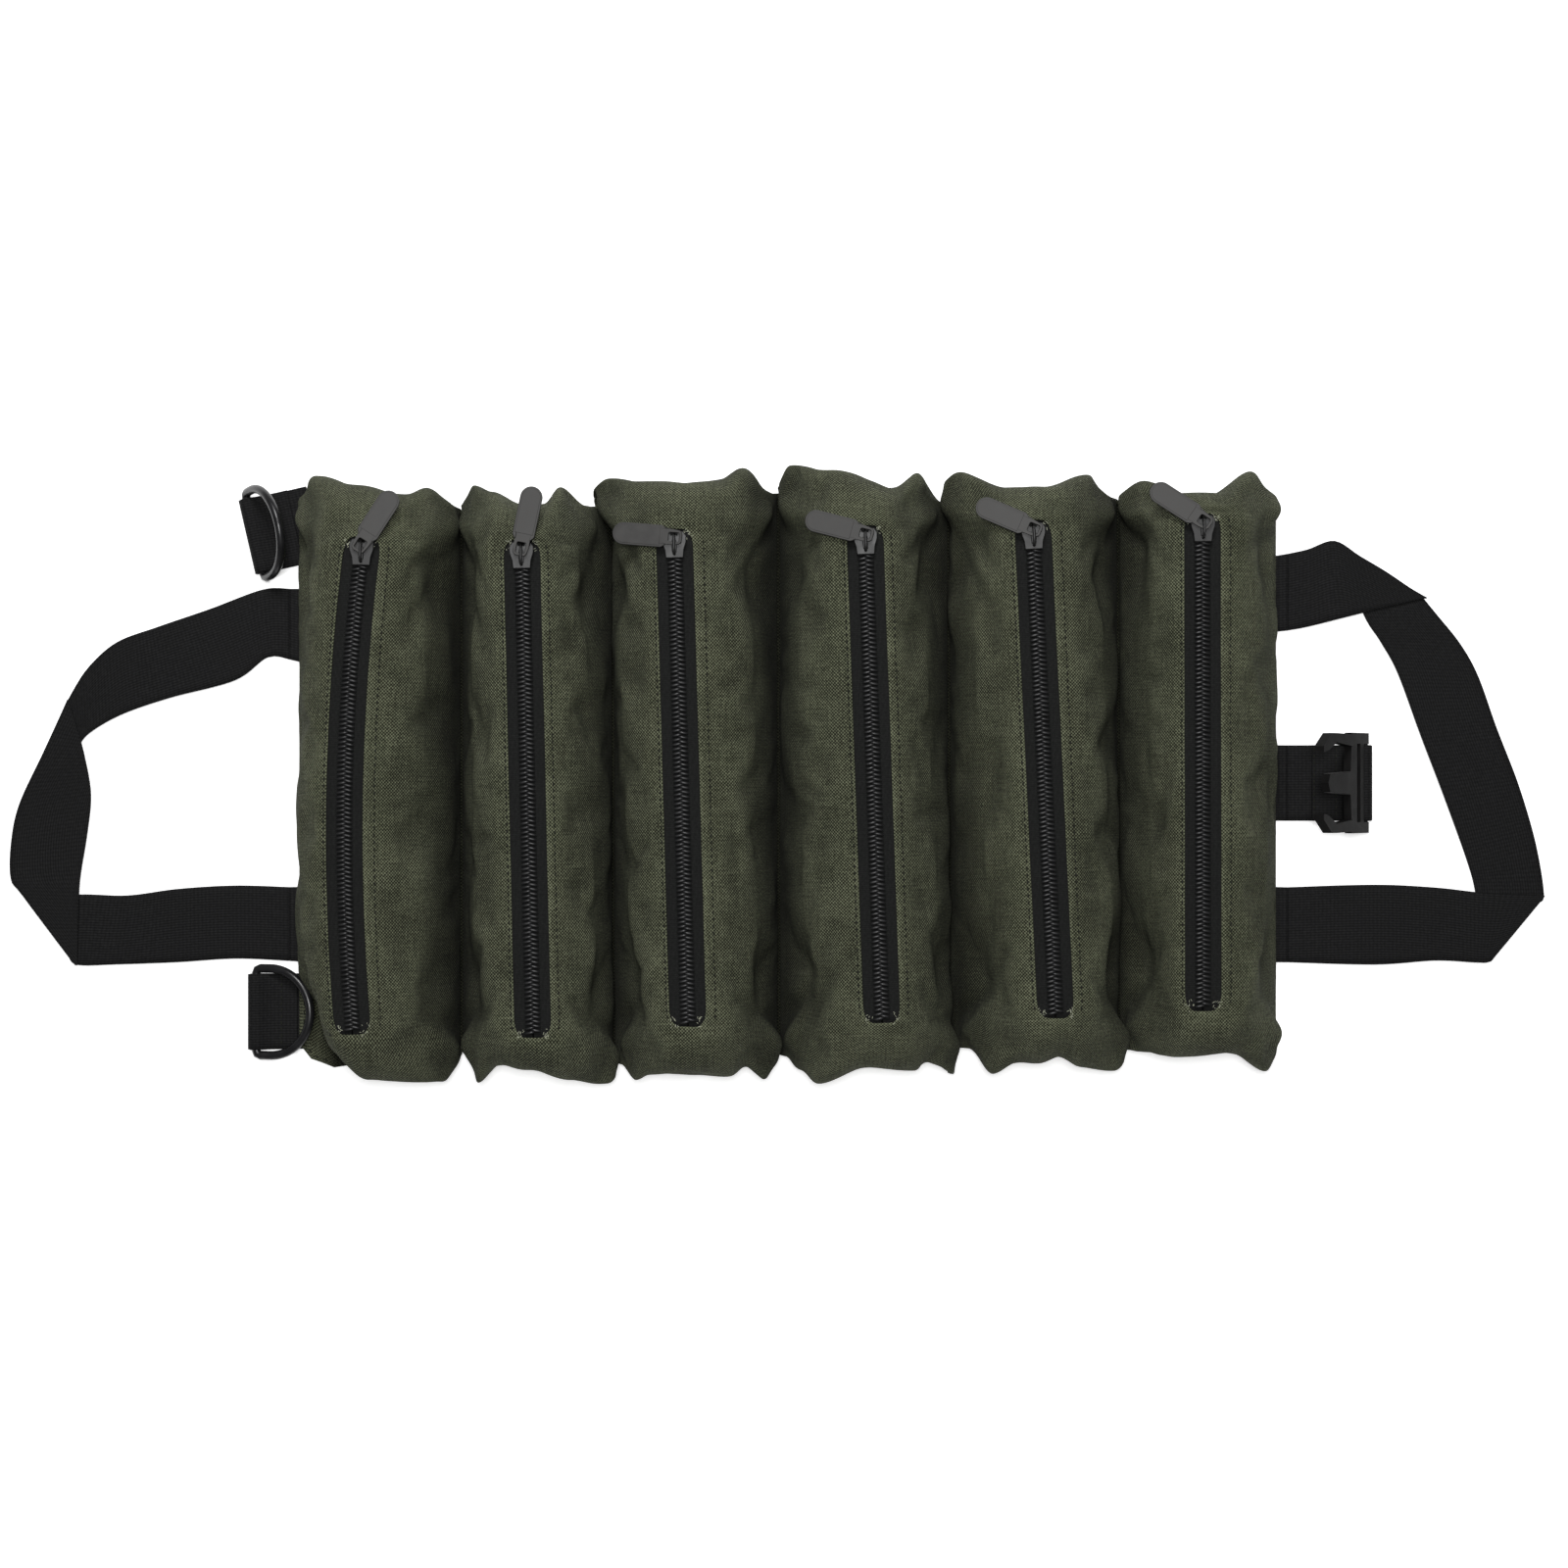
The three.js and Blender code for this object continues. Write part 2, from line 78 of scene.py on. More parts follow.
def tune(thing, **settings):
    """Sets several attributes of one thing, and returns it."""
    for name, value in settings.items():
        setattr(thing, name, value)
    return thing


def add_camera():
    data = tune(bpy.data.cameras.new("camera"), sensor_width=CAMERA["sensor"], lens=CAMERA["lens"])
    camera = add_object("camera", data)
    camera.location = CAMERA["place"]
    bpy.context.scene.camera = camera


def add_light(name, place, size, power):
    data = tune(bpy.data.lights.new(name, "AREA"), shape="DISK", size=size, energy=power)
    light = add_object(name, data)
    light.location = place
    light.rotation_euler = Vector(place).to_track_quat("Z", "Y").to_euler()


def add_studio():
    scene = bpy.context.scene
    scene.view_settings.view_transform = "Standard"
    world = bpy.data.worlds.new("studio")
    world.use_nodes = True
    sky = world.node_tree.nodes["Background"].inputs
    sky["Color"].default_value = (1, 1, 1, 1)
    sky["Strength"].default_value = WORLD_STRENGTH
    scene.world = world
    for light in LIGHTS:
        add_light(*light)
    mesh = bpy.data.meshes.new("floor")
    side = PAPER["half"]
    corners = [(-side, -side, 0), (side, -side, 0), (side, side, 0), (-side, side, 0)]
    mesh.from_pydata(corners, [], [(0, 1, 2, 3)])
    floor = add_object("floor", mesh)
    floor.location.z = PAPER["z"]
    paper = new_material("paper", (PAPER["tone"],) * 3, 0.9)
    paper.look(Emission_Color=(1, 1, 1, 1), Emission_Strength=PAPER["glow"])
    floor.data.materials.append(paper.material)


# ---- Materials ----
class Nodes:
    """A material's node tree, with short calls for adding and joining nodes."""

    def __init__(self, name):
        self.material = bpy.data.materials.new(name)
        self.material.use_nodes = True
        self.tree = self.material.node_tree
        self.shader = self.tree.nodes["Principled BSDF"]

    def put(self, target, value):
        if isinstance(value, bpy.types.NodeSocket):
            self.tree.links.new(value, target)
        else:
            target.default_value = value

    def add(self, kind):
        return self.tree.nodes.new("ShaderNode" + kind)

    def look(self, **settings):
        """Sets the shader's inputs, named with underscores for spaces."""
        for name, value in settings.items():
            self.put(self.shader.inputs[name.replace("_", " ")], value)

    def math(self, operation, a, b=0.0, c=0.0):
        node = self.add("Math")
        node.operation = operation
        for target, value in zip(node.inputs, (a, b, c)):
            self.put(target, value)
        return node.outputs[0]

    def noise(self, vector, scale, detail=3.0, stretch=(1, 1, 1)):
        mapping = self.add("Mapping")
        mapping.inputs["Scale"].default_value = stretch
        self.put(mapping.inputs["Vector"], vector)
        node = self.add("TexNoise")
        self.put(node.inputs["Vector"], mapping.outputs[0])
        node.inputs["Scale"].default_value = scale
        node.inputs["Detail"].default_value = detail
        return node.outputs[0]

    def clamp(self, value, low=0.0, high=1.0):
        return self.math("MINIMUM", self.math("MAXIMUM", value, low), high)

    def wave(self, way, half_length):
        return self.math("SINE", self.math("MULTIPLY", way, math.pi / half_length))

    def split(self, vector):
        node = self.add("SeparateXYZ")
        self.put(node.inputs[0], vector)
        return node.outputs

    def coordinates(self):
        """The place on the object, the place on the cloth, and the cloth's own two ways, in metres."""
        node = self.add("TexCoord")
        across, along = self.split(node.outputs["UV"])[:2]
        return node.outputs["Object"], node.outputs["UV"], across, along

    def ramp(self, value, stops):
        node = self.add("ValToRGB")
        self.put(node.inputs[0], value)
        elements = node.color_ramp.elements
        while len(elements) < len(stops):
            elements.new(0.5)
        for element, (place, colour) in zip(elements, stops):
            element.position = place
            element.color = (*colour, 1)
        return node.outputs[0]

    def worn_edges(self, gain):
        """Above 0 on ridges, so they come out lighter, and below 0 in creases, which is painted shade."""
        pointed = self.add("NewGeometry").outputs["Pointiness"]
        return self.clamp(self.math("MULTIPLY_ADD", pointed, gain, -gain / 2), -0.07, 0.3)

    def bump(self, height, strength, distance):
        node = self.add("Bump")
        node.inputs["Strength"].default_value = strength
        node.inputs["Distance"].default_value = distance
        self.put(node.inputs["Height"], height)
        self.tree.links.new(node.outputs[0], self.shader.inputs["Normal"])


def new_material(name, colour, roughness, metallic=0.0, specular=0.5):
    nodes = Nodes(name)
    nodes.look(Base_Color=(*colour, 1), Roughness=roughness)
    nodes.look(Metallic=metallic, Specular_IOR_Level=specular)
    return nodes


def scaled(colour, share):
    return tuple(channel * share for channel in colour)


CANVAS = {"thread": 0.0008, "colour": (0.054, 0.058, 0.037)}


def canvas_material(name, shade_share):
    """Heavy cotton in a plain weave: threads pass over and under, with slubs, a speckle and a faint mottle.
    The last argument paints shade into the colour: what it returns darkens the cloth where shade falls, down
    in the folds between the pouches."""
    colour = CANVAS["colour"]
    nodes = new_material(name, colour, 0.95, specular=0.06)
    place, fabric, across, along = nodes.coordinates()
    over = nodes.math("MULTIPLY", *[nodes.wave(way, CANVAS["thread"]) for way in (across, along)])
    warp = nodes.noise(fabric, 60, 2, (22, 1, 1))
    weft = nodes.noise(fabric, 60, 2, (1, 22, 1))
    slubs = nodes.math("ADD", warp, weft)
    speckle = nodes.noise(fabric, 900, 1)
    mottle = nodes.noise(place, 38, 5)
    tone = nodes.math("MULTIPLY_ADD", over, 0.5, 0.42)
    for value, gain, offset in ((slubs, 0.45, -0.45), (speckle, 0.9, -0.45), (mottle, 0.5, -0.25)):
        tone = nodes.math("ADD", tone, nodes.math("MULTIPLY_ADD", value, gain, offset))
    # Lighter on ridges, and darker in creases as painted shade.
    tone = nodes.math("ADD", tone, nodes.worn_edges(3.0))
    stops = [(0.05, scaled(colour, 0.2)), (0.45, scaled(colour, 0.85)), (1.0, scaled(colour, 3.2))]
    # Painted shade: the colour is scaled by the share that the last argument returns.
    dimmed = nodes.add("VectorMath")
    dimmed.operation = "SCALE"
    nodes.put(dimmed.inputs[0], nodes.ramp(tone, stops))
    nodes.put(dimmed.inputs["Scale"], shade_share(nodes, place, across))
    nodes.look(Base_Color=dimmed.outputs[0], Sheen_Weight=0.02, Sheen_Roughness=0.5)
    nodes.bump(nodes.math("MULTIPLY_ADD", slubs, 0.5, over), 0.7, 0.0004)
    return nodes.material


# Painted shade, in metres: the part of the row whose folds are painted dark, how soon that fades at its two
# ends, how far from the zip the painted shade starts and is full, and the height of the back panel's upper
# face.
PAINTED_SHADE = {"middle": 0.0045, "half": 0.240, "fade": 70.0, "start": 0.034, "full": 0.034, "face": 0.0026}


def between_ends(nodes, place):
    """Where painted shade may fall: 1 between the two ends of the row of pouches, and 0 at them; also the
    height.
    """
    x, _, height = nodes.split(place)
    off_middle = nodes.math("ABSOLUTE", nodes.math("SUBTRACT", x, PAINTED_SHADE["middle"]))
    inside = nodes.math("MULTIPLY", nodes.math("SUBTRACT", PAINTED_SHADE["half"], off_middle), PAINTED_SHADE["fade"])
    return nodes.clamp(inside), height


def darkened(nodes, *shares):
    """1 less the product of the shares."""
    product = nodes.math("MULTIPLY", nodes.math("MULTIPLY", *shares[:2]), shares[2])
    return nodes.math("SUBTRACT", 1.0, product)


def pouch_grime(nodes, place, across):
    """Painted shade: darker with distance from the zip across the cloth, so down the sides that face another
    pouch.
    """
    past = nodes.math("SUBTRACT", nodes.math("ABSOLUTE", across), PAINTED_SHADE["start"])
    down = nodes.clamp(nodes.math("MULTIPLY", past, 1 / PAINTED_SHADE["full"]))
    return darkened(nodes, down, 0.8, between_ends(nodes, place)[0])


def back_grime(nodes, place, across):
    """Painted shade: dark on the face that the pouches cover."""
    inside, height = between_ends(nodes, place)
    return darkened(nodes, nodes.math("GREATER_THAN", height, PAINTED_SHADE["face"]), 0.85, inside)


def webbing_material(name, rib, colour):
    """Black tape woven in fine ribs along its length, crossed by finer picks."""
    nodes = new_material(name, colour, 0.78, specular=0.1)
    place, _, across, along = nodes.coordinates()
    ribs = nodes.math("ABSOLUTE", nodes.wave(across, rib))
    picks = nodes.math("ABSOLUTE", nodes.wave(along, rib * 1.5))
    height = nodes.math("MULTIPLY_ADD", picks, 0.5, ribs)
    fuzz = nodes.noise(place, 900, 2)
    tone = nodes.math("MULTIPLY_ADD", fuzz, 0.7, nodes.math("MULTIPLY", height, 0.35))
    stops = [(0.1, scaled(colour, 0.5)), (0.6, colour), (1, scaled(colour, 2.2))]
    nodes.look(Base_Color=nodes.ramp(tone, stops), Sheen_Weight=0.01)
    nodes.bump(height, 0.6, 0.00025)
    return nodes.material


def hard_material(name, colour, roughness, metallic, grain, specular):
    """A hard finish whose gloss and tone wander a little, with a fine grain."""
    nodes = new_material(name, colour, roughness, metallic, specular)
    place = nodes.coordinates()[0]
    smudge = nodes.noise(place, 160, 4)
    stops = [(0.3, scaled(colour, 0.75)), (0.7, scaled(colour, 1.25))]
    gloss = nodes.math("MULTIPLY_ADD", smudge, 0.3, roughness - 0.15)
    nodes.look(Roughness=gloss, Base_Color=nodes.ramp(smudge, stops))
    nodes.bump(nodes.noise(place, 2600, 2), grain, 0.0001)
    return nodes.material


HARD = {  # colour, roughness, metallic, grain, specular
    "zipper_coil": ((0.011, 0.011, 0.0115), 0.4, 0.0, 0.1, 0.35),
    "black_metal": ((0.034, 0.0332, 0.032), 0.5, 0.2, 0.15, 0.25),
    "slider_metal": ((0.013, 0.013, 0.013), 0.45, 0.15, 0.1, 0.4),
    "ring_metal": ((0.010, 0.010, 0.011), 0.32, 0.2, 0.05, 0.5),
    "buckle_plastic": ((0.0065, 0.0063, 0.0063), 0.5, 0.0, 0.2, 0.07),
    "dark_thread": ((0.012, 0.013, 0.009), 0.8, 0.0, 0.3, 0.2),
    "pale_thread": ((0.34, 0.35, 0.27), 0.9, 0.0, 0.3, 0.1),
}


def make_materials():
    made = {name: hard_material(name, *finish) for name, finish in HARD.items()}
    # The two canvases differ only in painted shade: the pouches' darkens down their sides, and the back's
    # darkens the face the pouches cover.
    made["canvas"] = canvas_material("canvas", pouch_grime)
    made["back_canvas"] = canvas_material("back_canvas", back_grime)
    made["webbing"] = webbing_material("webbing", 0.0013, (0.0065, 0.0065, 0.0067))
    made["zipper_tape"] = webbing_material("zipper_tape", 0.0006, (0.0075, 0.0078, 0.0075))
    return made


# ---- Mesh helpers ----
RIBBON_LIP = 0.25  # how far in from its edges a strap has its full thickness


def make_object(name, points, faces, uvs=None):
    mesh = bpy.data.meshes.new(name)
    mesh.from_pydata([Vector(point) * MM for point in points], [], faces)
    if uvs:
        layer = mesh.uv_layers.new(name="fabric")
        for loop in mesh.loops:
            u, v = uvs[loop.vertex_index]
            layer.data[loop.index].uv = (u * MM, v * MM)
    mesh.shade_smooth()
    return add_object(name, mesh)


def dress(piece, material, slot, body=None, *stands_for):
    """Gives a piece its material, the body it rides on and the CAD nodes it replaces; the slot is not used.
    """
    piece.data.materials.clear()
    piece.data.materials.append(MATERIALS[material])
    if body:
        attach(piece, body)
    if stands_for:
        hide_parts(*stands_for)
    return piece


def curve_through(points, step):
    """A smooth row of points through the given ones, which may have any number of coordinates."""
    ends = [points[0], *points, points[-1]]
    made = []
    for p0, p1, p2, p3 in zip(ends, ends[1:], ends[2:], ends[3:]):
        reach = math.dist(p1, p2)
        count = max(1, round(reach / step))
        for k in range(count):
            t = k / count
            made.append([catmull(a, b, c, d, t) for a, b, c, d in zip(p0, p1, p2, p3)])
    made.append(list(points[-1]))
    return made


def catmull(a, b, c, d, t):
    bend = (c - a) * t + (2 * a - 5 * b + 4 * c - d) * t**2 + (3 * b - a - 3 * c + d) * t**3
    return b + 0.5 * bend


def polyline_at(points, x):
    """Y of an open outline, sorted by X, at a place along it."""
    if x <= points[0][0]:
        return points[0][1]
    for (x0, y0), (x1, y1) in zip(points, points[1:]):
        if x <= x1:
            t = (x - x0) / (x1 - x0)
            smooth = t * t * (3 - 2 * t)
            return y0 + (y1 - y0) * smooth
    return points[-1][1]


def skin(base, rows, around, closed=False):
    """Faces round rows of points that begin at point base, with both ends shut unless the rows close up."""
    faces = []
    for k in range(rows if closed else rows - 1):
        here, onto = base + k * around, base + (k + 1) % rows * around
        for j in range(around):
            beside = (j + 1) % around
            faces.append((here + j, here + beside, onto + beside, onto + j))
    if not closed:
        last = base + around * (rows - 1)
        faces.append(tuple(reversed(range(base, base + around))))
        faces.append(tuple(range(last, last + around)))
    return faces


def circle(middle, side, lift, radius, count):
    turns = [2 * math.pi * j / count for j in range(count)]
    return [middle + (side * math.cos(turn) + lift * math.sin(turn)) * radius for turn in turns]


def ribbon(name, rungs, thick, across):
    """A strap: each rung is its left and its right edge, six numbers, at the middle of its thickness."""
    points, uvs = [], []
    travelled = 0.0
    rows = []
    shares = [j / across for j in range(across + 1)]
    for k, rung in enumerate(rungs):
        left, right = Vector(rung[:3]), Vector(rung[3:])
        before, after = rungs[max(k - 1, 0)], rungs[min(k + 1, len(rungs) - 1)]
        onward = Vector(after[:3]) + Vector(after[3:]) - Vector(before[:3]) - Vector(before[3:])
        up = (right - left).cross(onward).normalized() * thick / 2
        if k:
            travelled += ((left + right) / 2 - (rows[-1][0] + rows[-1][1]) / 2).length
        rows.append((left, right))
        width = (right - left).length
        inset = RIBBON_LIP / width
        level = [left.lerp(right, min(max(s, inset), 1 - inset)) for s in shares]
        points += [*(point + up for point in level), right, *(point - up for point in reversed(level)), left]
        uvs += [(s * width, travelled) for s in shares] + [(width, travelled)]
        uvs += [(s * width, travelled) for s in reversed(shares)] + [(0, travelled)]
    return make_object(name, points, skin(0, len(rungs), 2 * (across + 1) + 2), uvs)


def tube(name, path, radius, closed=False, sides=14):
    """A round wire along a path."""
    points = []
    count = len(path)
    path = [Vector(point) for point in path]
    side = None
    for k, point in enumerate(path):
        ahead = path[(k + 1) % count] if closed or k < count - 1 else point
        behind = path[k - 1] if closed or k else point
        onward = (ahead - behind).normalized()
        guess = side or onward.orthogonal()
        side = (guess - onward * guess.dot(onward)).normalized()
        points += circle(point, side, onward.cross(side), radius, sides)
    return make_object(name, points, skin(0, count, sides, closed))


def arc(centre, radius, start, end, steps):
    """Points on an arc, with angles in degrees."""
    made = []
    for k in range(steps + 1):
        angle = math.radians(start + (end - start) * k / steps)
        made.append((centre[0] + radius * math.cos(angle), centre[1] + radius * math.sin(angle)))
    return made


def slab(name, outlines, bottom, top, bevel, place):
    """A plate with rounded edges. The first outline is its rim, and any others are holes in it."""
    data = tune(bpy.data.curves.new(name, "CURVE"), dimensions="2D", fill_mode="BOTH", offset=-bevel)
    tune(data, extrude=(top - bottom) / 2 - bevel, bevel_depth=bevel, bevel_resolution=2)
    for outline in outlines:
        spline = data.splines.new("POLY")
        spline.points.add(len(outline) - 1)
        for point, (x, y) in zip(spline.points, outline):
            point.co = (x, y, 0, 1)
        spline.use_cyclic_u = True
    drawn = add_object(name + "_outline", data)
    bpy.context.view_layer.update()
    found = drawn.evaluated_get(bpy.context.evaluated_depsgraph_get())
    mesh = bpy.data.meshes.new_from_object(found)
    mesh.name = name
    mesh.transform(Matrix.Translation((0, 0, (top + bottom) / 2)))
    mesh.transform(Matrix.Scale(MM, 4) @ place)
    bpy.data.objects.remove(drawn)
    made = add_object(name, mesh)
    mesh.shade_smooth()
    mesh.set_sharp_from_angle(angle=math.radians(50))
    return made


class Bits:
    """Many small rounded bars gathered in one mesh: stitches, teeth and thread ends."""

    SHARES = [(0.0, 0.0), (0.1, 0.7), (0.3, 1.0), (0.7, 1.0), (0.9, 0.7), (1.0, 0.0)]

    def __init__(self):
        self.points = []
        self.faces = []

    def bar(self, start, end, radius, flat=1.0, sides=6):
        start, end = Vector(start), Vector(end)
        onward = (end - start).normalized()
        side = onward.cross(Vector((0, 0, 1))).normalized()
        lift = side.cross(onward) * flat
        base = len(self.points)
        for share, size in self.SHARES:
            self.points += circle(start.lerp(end, share), side, lift, max(size, 0.02) * radius, sides)
        self.faces += skin(base, len(self.SHARES), sides)

    def stitches(self, path, pitch, share, radius):
        """A row of stitches that lie along a path of points."""
        path = [Vector(point) for point in path]
        reach, wanted = 0.0, pitch / 2
        for a, b in zip(path, path[1:]):
            length = (b - a).length
            while wanted < reach + length:
                middle = a.lerp(b, (wanted - reach) / length)
                half = (b - a).normalized() * pitch * share / 2
                self.bar(middle - half, middle + half, radius, 0.8)
                wanted += pitch
            reach += length

    def object(self, name):
        return make_object(name, self.points, self.faces)


def sew(name, lines, slot, body, pitch, share=0.62, radius=0.33):
    """Rows of dark stitches as one piece."""
    threads = Bits()
    for line in lines:
        threads.stitches(line, pitch, share, radius)
    dress(threads.object(name), "dark_thread", slot, body)


def joined(name, pieces):
    """The pieces as one object of that name."""
    with bpy.context.temp_override(active_object=pieces[0], selected_editable_objects=pieces):
        bpy.ops.object.join()
    pieces[0].name = name
    pieces[0].data.name = name
    return pieces[0]


# ---- Places from the CAD ----
def box_mm(node):
    low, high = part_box(node)
    return low / MM, high / MM


class Zip:
    """The line of a pouch's zip: u is across it, v along it towards the closed slider."""

    BOW = {1: 6.0}  # how far a zip curves to the left in its middle
    BOW_HALF = 115.0

    def __init__(self, number):
        low, high = box_mm(f"zipper_chain_{number}")
        self.number = number
        self.middle = (low + high) / 2
        self.along = -Vector(JOINTS[f"slider_{number}_slide"]["axis"])
        self.across = Vector((self.along.y, -self.along.x, 0))
        self.bow = self.BOW.get(number, 0.0)
        self.chain = (low.z, high.z)
        self.half = (high.y - low.y) / 2

    def point(self, u, v, z):
        bowed = u - self.bow * max(0.0, 1 - (v / self.BOW_HALF) ** 2)
        made = self.middle + self.across * bowed + self.along * v
        return Vector((made.x, made.y, z))

    def slider_place(self):
        low, high = box_mm(f"slider_{self.number}")
        centre = (low + high) / 2
        place = Matrix((self.across, self.along, (0, 0, 1))).transposed().to_4x4()
        place.translation = (centre.x, centre.y, 0)
        return place


ZIPS = {number: Zip(number) for number in NUMBERS}

# ---- Back panel: its outline on the bag, and the webbing on it ----
WEBBING_THICK = 1.6
SEAM_HALF = 6.0  # from a fold line to where the strip that lies over it ends
FOLD_STRIP = 12.6  # length of that strip
STRAP_HALF = 19.0
HEM = 2.5  # from the canvas's edge to its stitches
SHEET = {"z": 2.5, "thick": 1.2}
BACK_TOP = [(-242, 134), (-158, 132), (-88, 134.5), (0, 141), (84, 136), (170, 137), (252, 138)]
BACK_BOTTOM = [
    (-242, -135), (-233, -144), (-222, -147.5), (-213, -145.5), (-190, -140), (-158, -137.5), (-78, -141),
    (1, -139.5), (91, -134.5), (174, -136), (200, -138.5), (252, -136),
]


def back_low(x):
    return polyline_at(BACK_BOTTOM, x)


def back_high(x):
    return polyline_at(BACK_TOP, x)


# ---- Pouches ----
CREST = 54.0
BASE = 3.4
SLOT = {"half": 120.0, "width": 8.75, "round": 9.0, "tip": 5.6}  # the zip's opening
END_REACH = 22.0  # about how far each end runs on past the opening
END_RISE = 17.0  # height of the nose of each pouch end
END_INSET = 1.5  # from the back panel's edge to where the pouch end is sewn to it
END_ROWS, TUCK_ROWS, ROW_STEP = 12, 4, 3
SECTION = [
    (0, 0), (0.04, 0.11), (0.11, 0.29), (0.21, 0.48), (0.34, 0.67), (0.52, 0.84), (0.76, 0.965), (1, 1),
]
SECTION_SIZE = (32, 50)  # a usual half section, across and up
COLUMNS = 20
LEAN = {"half": 140.0, "height": 12.0}
# How far the valley over each fold line, and outside each end one, leans sideways: at its bottom, its top.
VALLEY_SHIFT = [(0, 0), (1.6, 0.7), (4.7, -4.6), (1.7, -1.7), (6.5, -6.2), (4.5, -3.3), (0, 0)]
# The outline of each pouch's two ends, seen from above.
TOP_ENDS = {
    1: [(-240, 138), (-229, 148), (-207, 143), (-184, 138.5), (-174, 142), (-160, 133)],
    2: [(-158, 136), (-153, 143.5), (-142, 140), (-126, 134), (-114, 134), (-104.5, 142.5), (-93, 134)],
    3: [(-93, 137), (-82, 146.5), (-66, 145), (-29, 146), (-16, 152), (-1, 140)],
    4: [(1, 145), (7, 153.5), (27, 150.5), (60, 142), (73, 149.5), (84, 136)],
    5: [(79, 137), (94, 150), (111, 142.5), (130, 143), (157, 148.5), (169, 138)],
    6: [(170, 138), (181, 145.5), (197, 139), (215, 139), (234.5, 150), (250, 137)],
}
BOTTOM_ENDS = {
    1: [(-215, -143), (-204, -151.5), (-168, -153), (-158, -141)],
    2: [
        (-158, -140), (-150, -153.5), (-140, -144.5), (-122, -147), (-104, -151.5), (-88, -154),
        (-80, -146),
    ],
    3: [(-81, -145), (-74, -152), (-64, -149), (-25, -150), (-16, -145), (-8.5, -152), (0, -141)],
    4: [(3, -141), (8, -147), (19, -153.5), (43, -146), (66, -147), (71, -143), (86, -150.5), (91, -137)],
    5: [
        (91, -137), (103, -149), (117, -143), (128, -143.5), (138, -140), (147, -145), (164, -147.5),
        (174, -138),
    ],
    6: [(175, -138), (197, -140), (224, -139), (243, -148), (251, -137)],
}
CUT_CORNER = {"from_y": -100.0, "slope": 0.6}
WALL = 1.2
FRAYS = 9  # cut threads at each corner of the zip opening
FOLD_SIDE = {1: 1, 2: 1, 4: -1, 5: -1, 6: -1}  # the pouches whose cloth is baked in place on no body, each with a side
SAG = {(5, -1): 0.2, (6, -1): 0.28, (1, 1): 0.1, (4, 1): 0.08}  # how much lower a pouch's side hangs
END_SHIFT = {(2, 1): -9.0}  # how far a fold line bends sideways at one end
DENTS = [(34, 0.8, 2.4), (13, 0.5, 0.9)]  # size, stretch along the pouch, depth
TIP_ROW = 11
PINCH_ROW = END_ROWS + TUCK_ROWS + 8
CLOTH = {
    "quality": 6, "mass": 0.25, "tension_stiffness": 25, "compression_stiffness": 25, "shear_stiffness": 12,
    "bending_stiffness": 4.0, "shrink_min": -0.018, "use_pressure": True, "uniform_pressure_force": 2.0,
    "vertex_group_mass": "held",
}
EDGES = {number: [corner.x for corner in box_mm(f"back_panel_{number}")] for number in NUMBERS}
SWELL = {"frames": 20, "cap": 3.5, "low_cap": 0.5, "low": 36, "rise": 1.2}


def section_points():
    """The half section's shape, from the fold line to the zip, at equal steps round its curve."""
    across, up = SECTION_SIZE
    dense = curve_through([(x * across, z * up) for x, z in SECTION], 0.5)
    lengths = [0.0]
    for a, b in zip(dense, dense[1:]):
        lengths.append(lengths[-1] + math.dist(a, b))
    made = []
    for k in range(COLUMNS + 1):
        wanted = lengths[-1] * k / COLUMNS
        j = min(range(len(lengths)), key=lambda m: abs(lengths[m] - wanted))
        made.append((dense[j][0] / across, dense[j][1] / up))
    return made


def pouch_stations():
    """Rows from the bottom end to the top: (which end, how far round it, how far along the zip)."""
    half = SLOT["half"]
    shares = [k / END_ROWS for k in range(1, END_ROWS + 1)]
    shares += [1 + k / TUCK_ROWS for k in range(1, TUCK_ROWS + 1)]
    straight = [(0, 0.0, float(v)) for v in range(-int(half), int(half) + 1, ROW_STEP)]
    bottom = [(-1, share, -half) for share in reversed(shares)]
    return bottom + straight + [(1, share, half) for share in shares]


def slot_half_width(v):
    left = (SLOT["half"] - abs(v)) / SLOT["round"]
    if left > 1:
        return SLOT["width"]
    return SLOT["tip"] + (SLOT["width"] - SLOT["tip"]) * math.sqrt(max(0.0, 1 - (1 - left) ** 2))


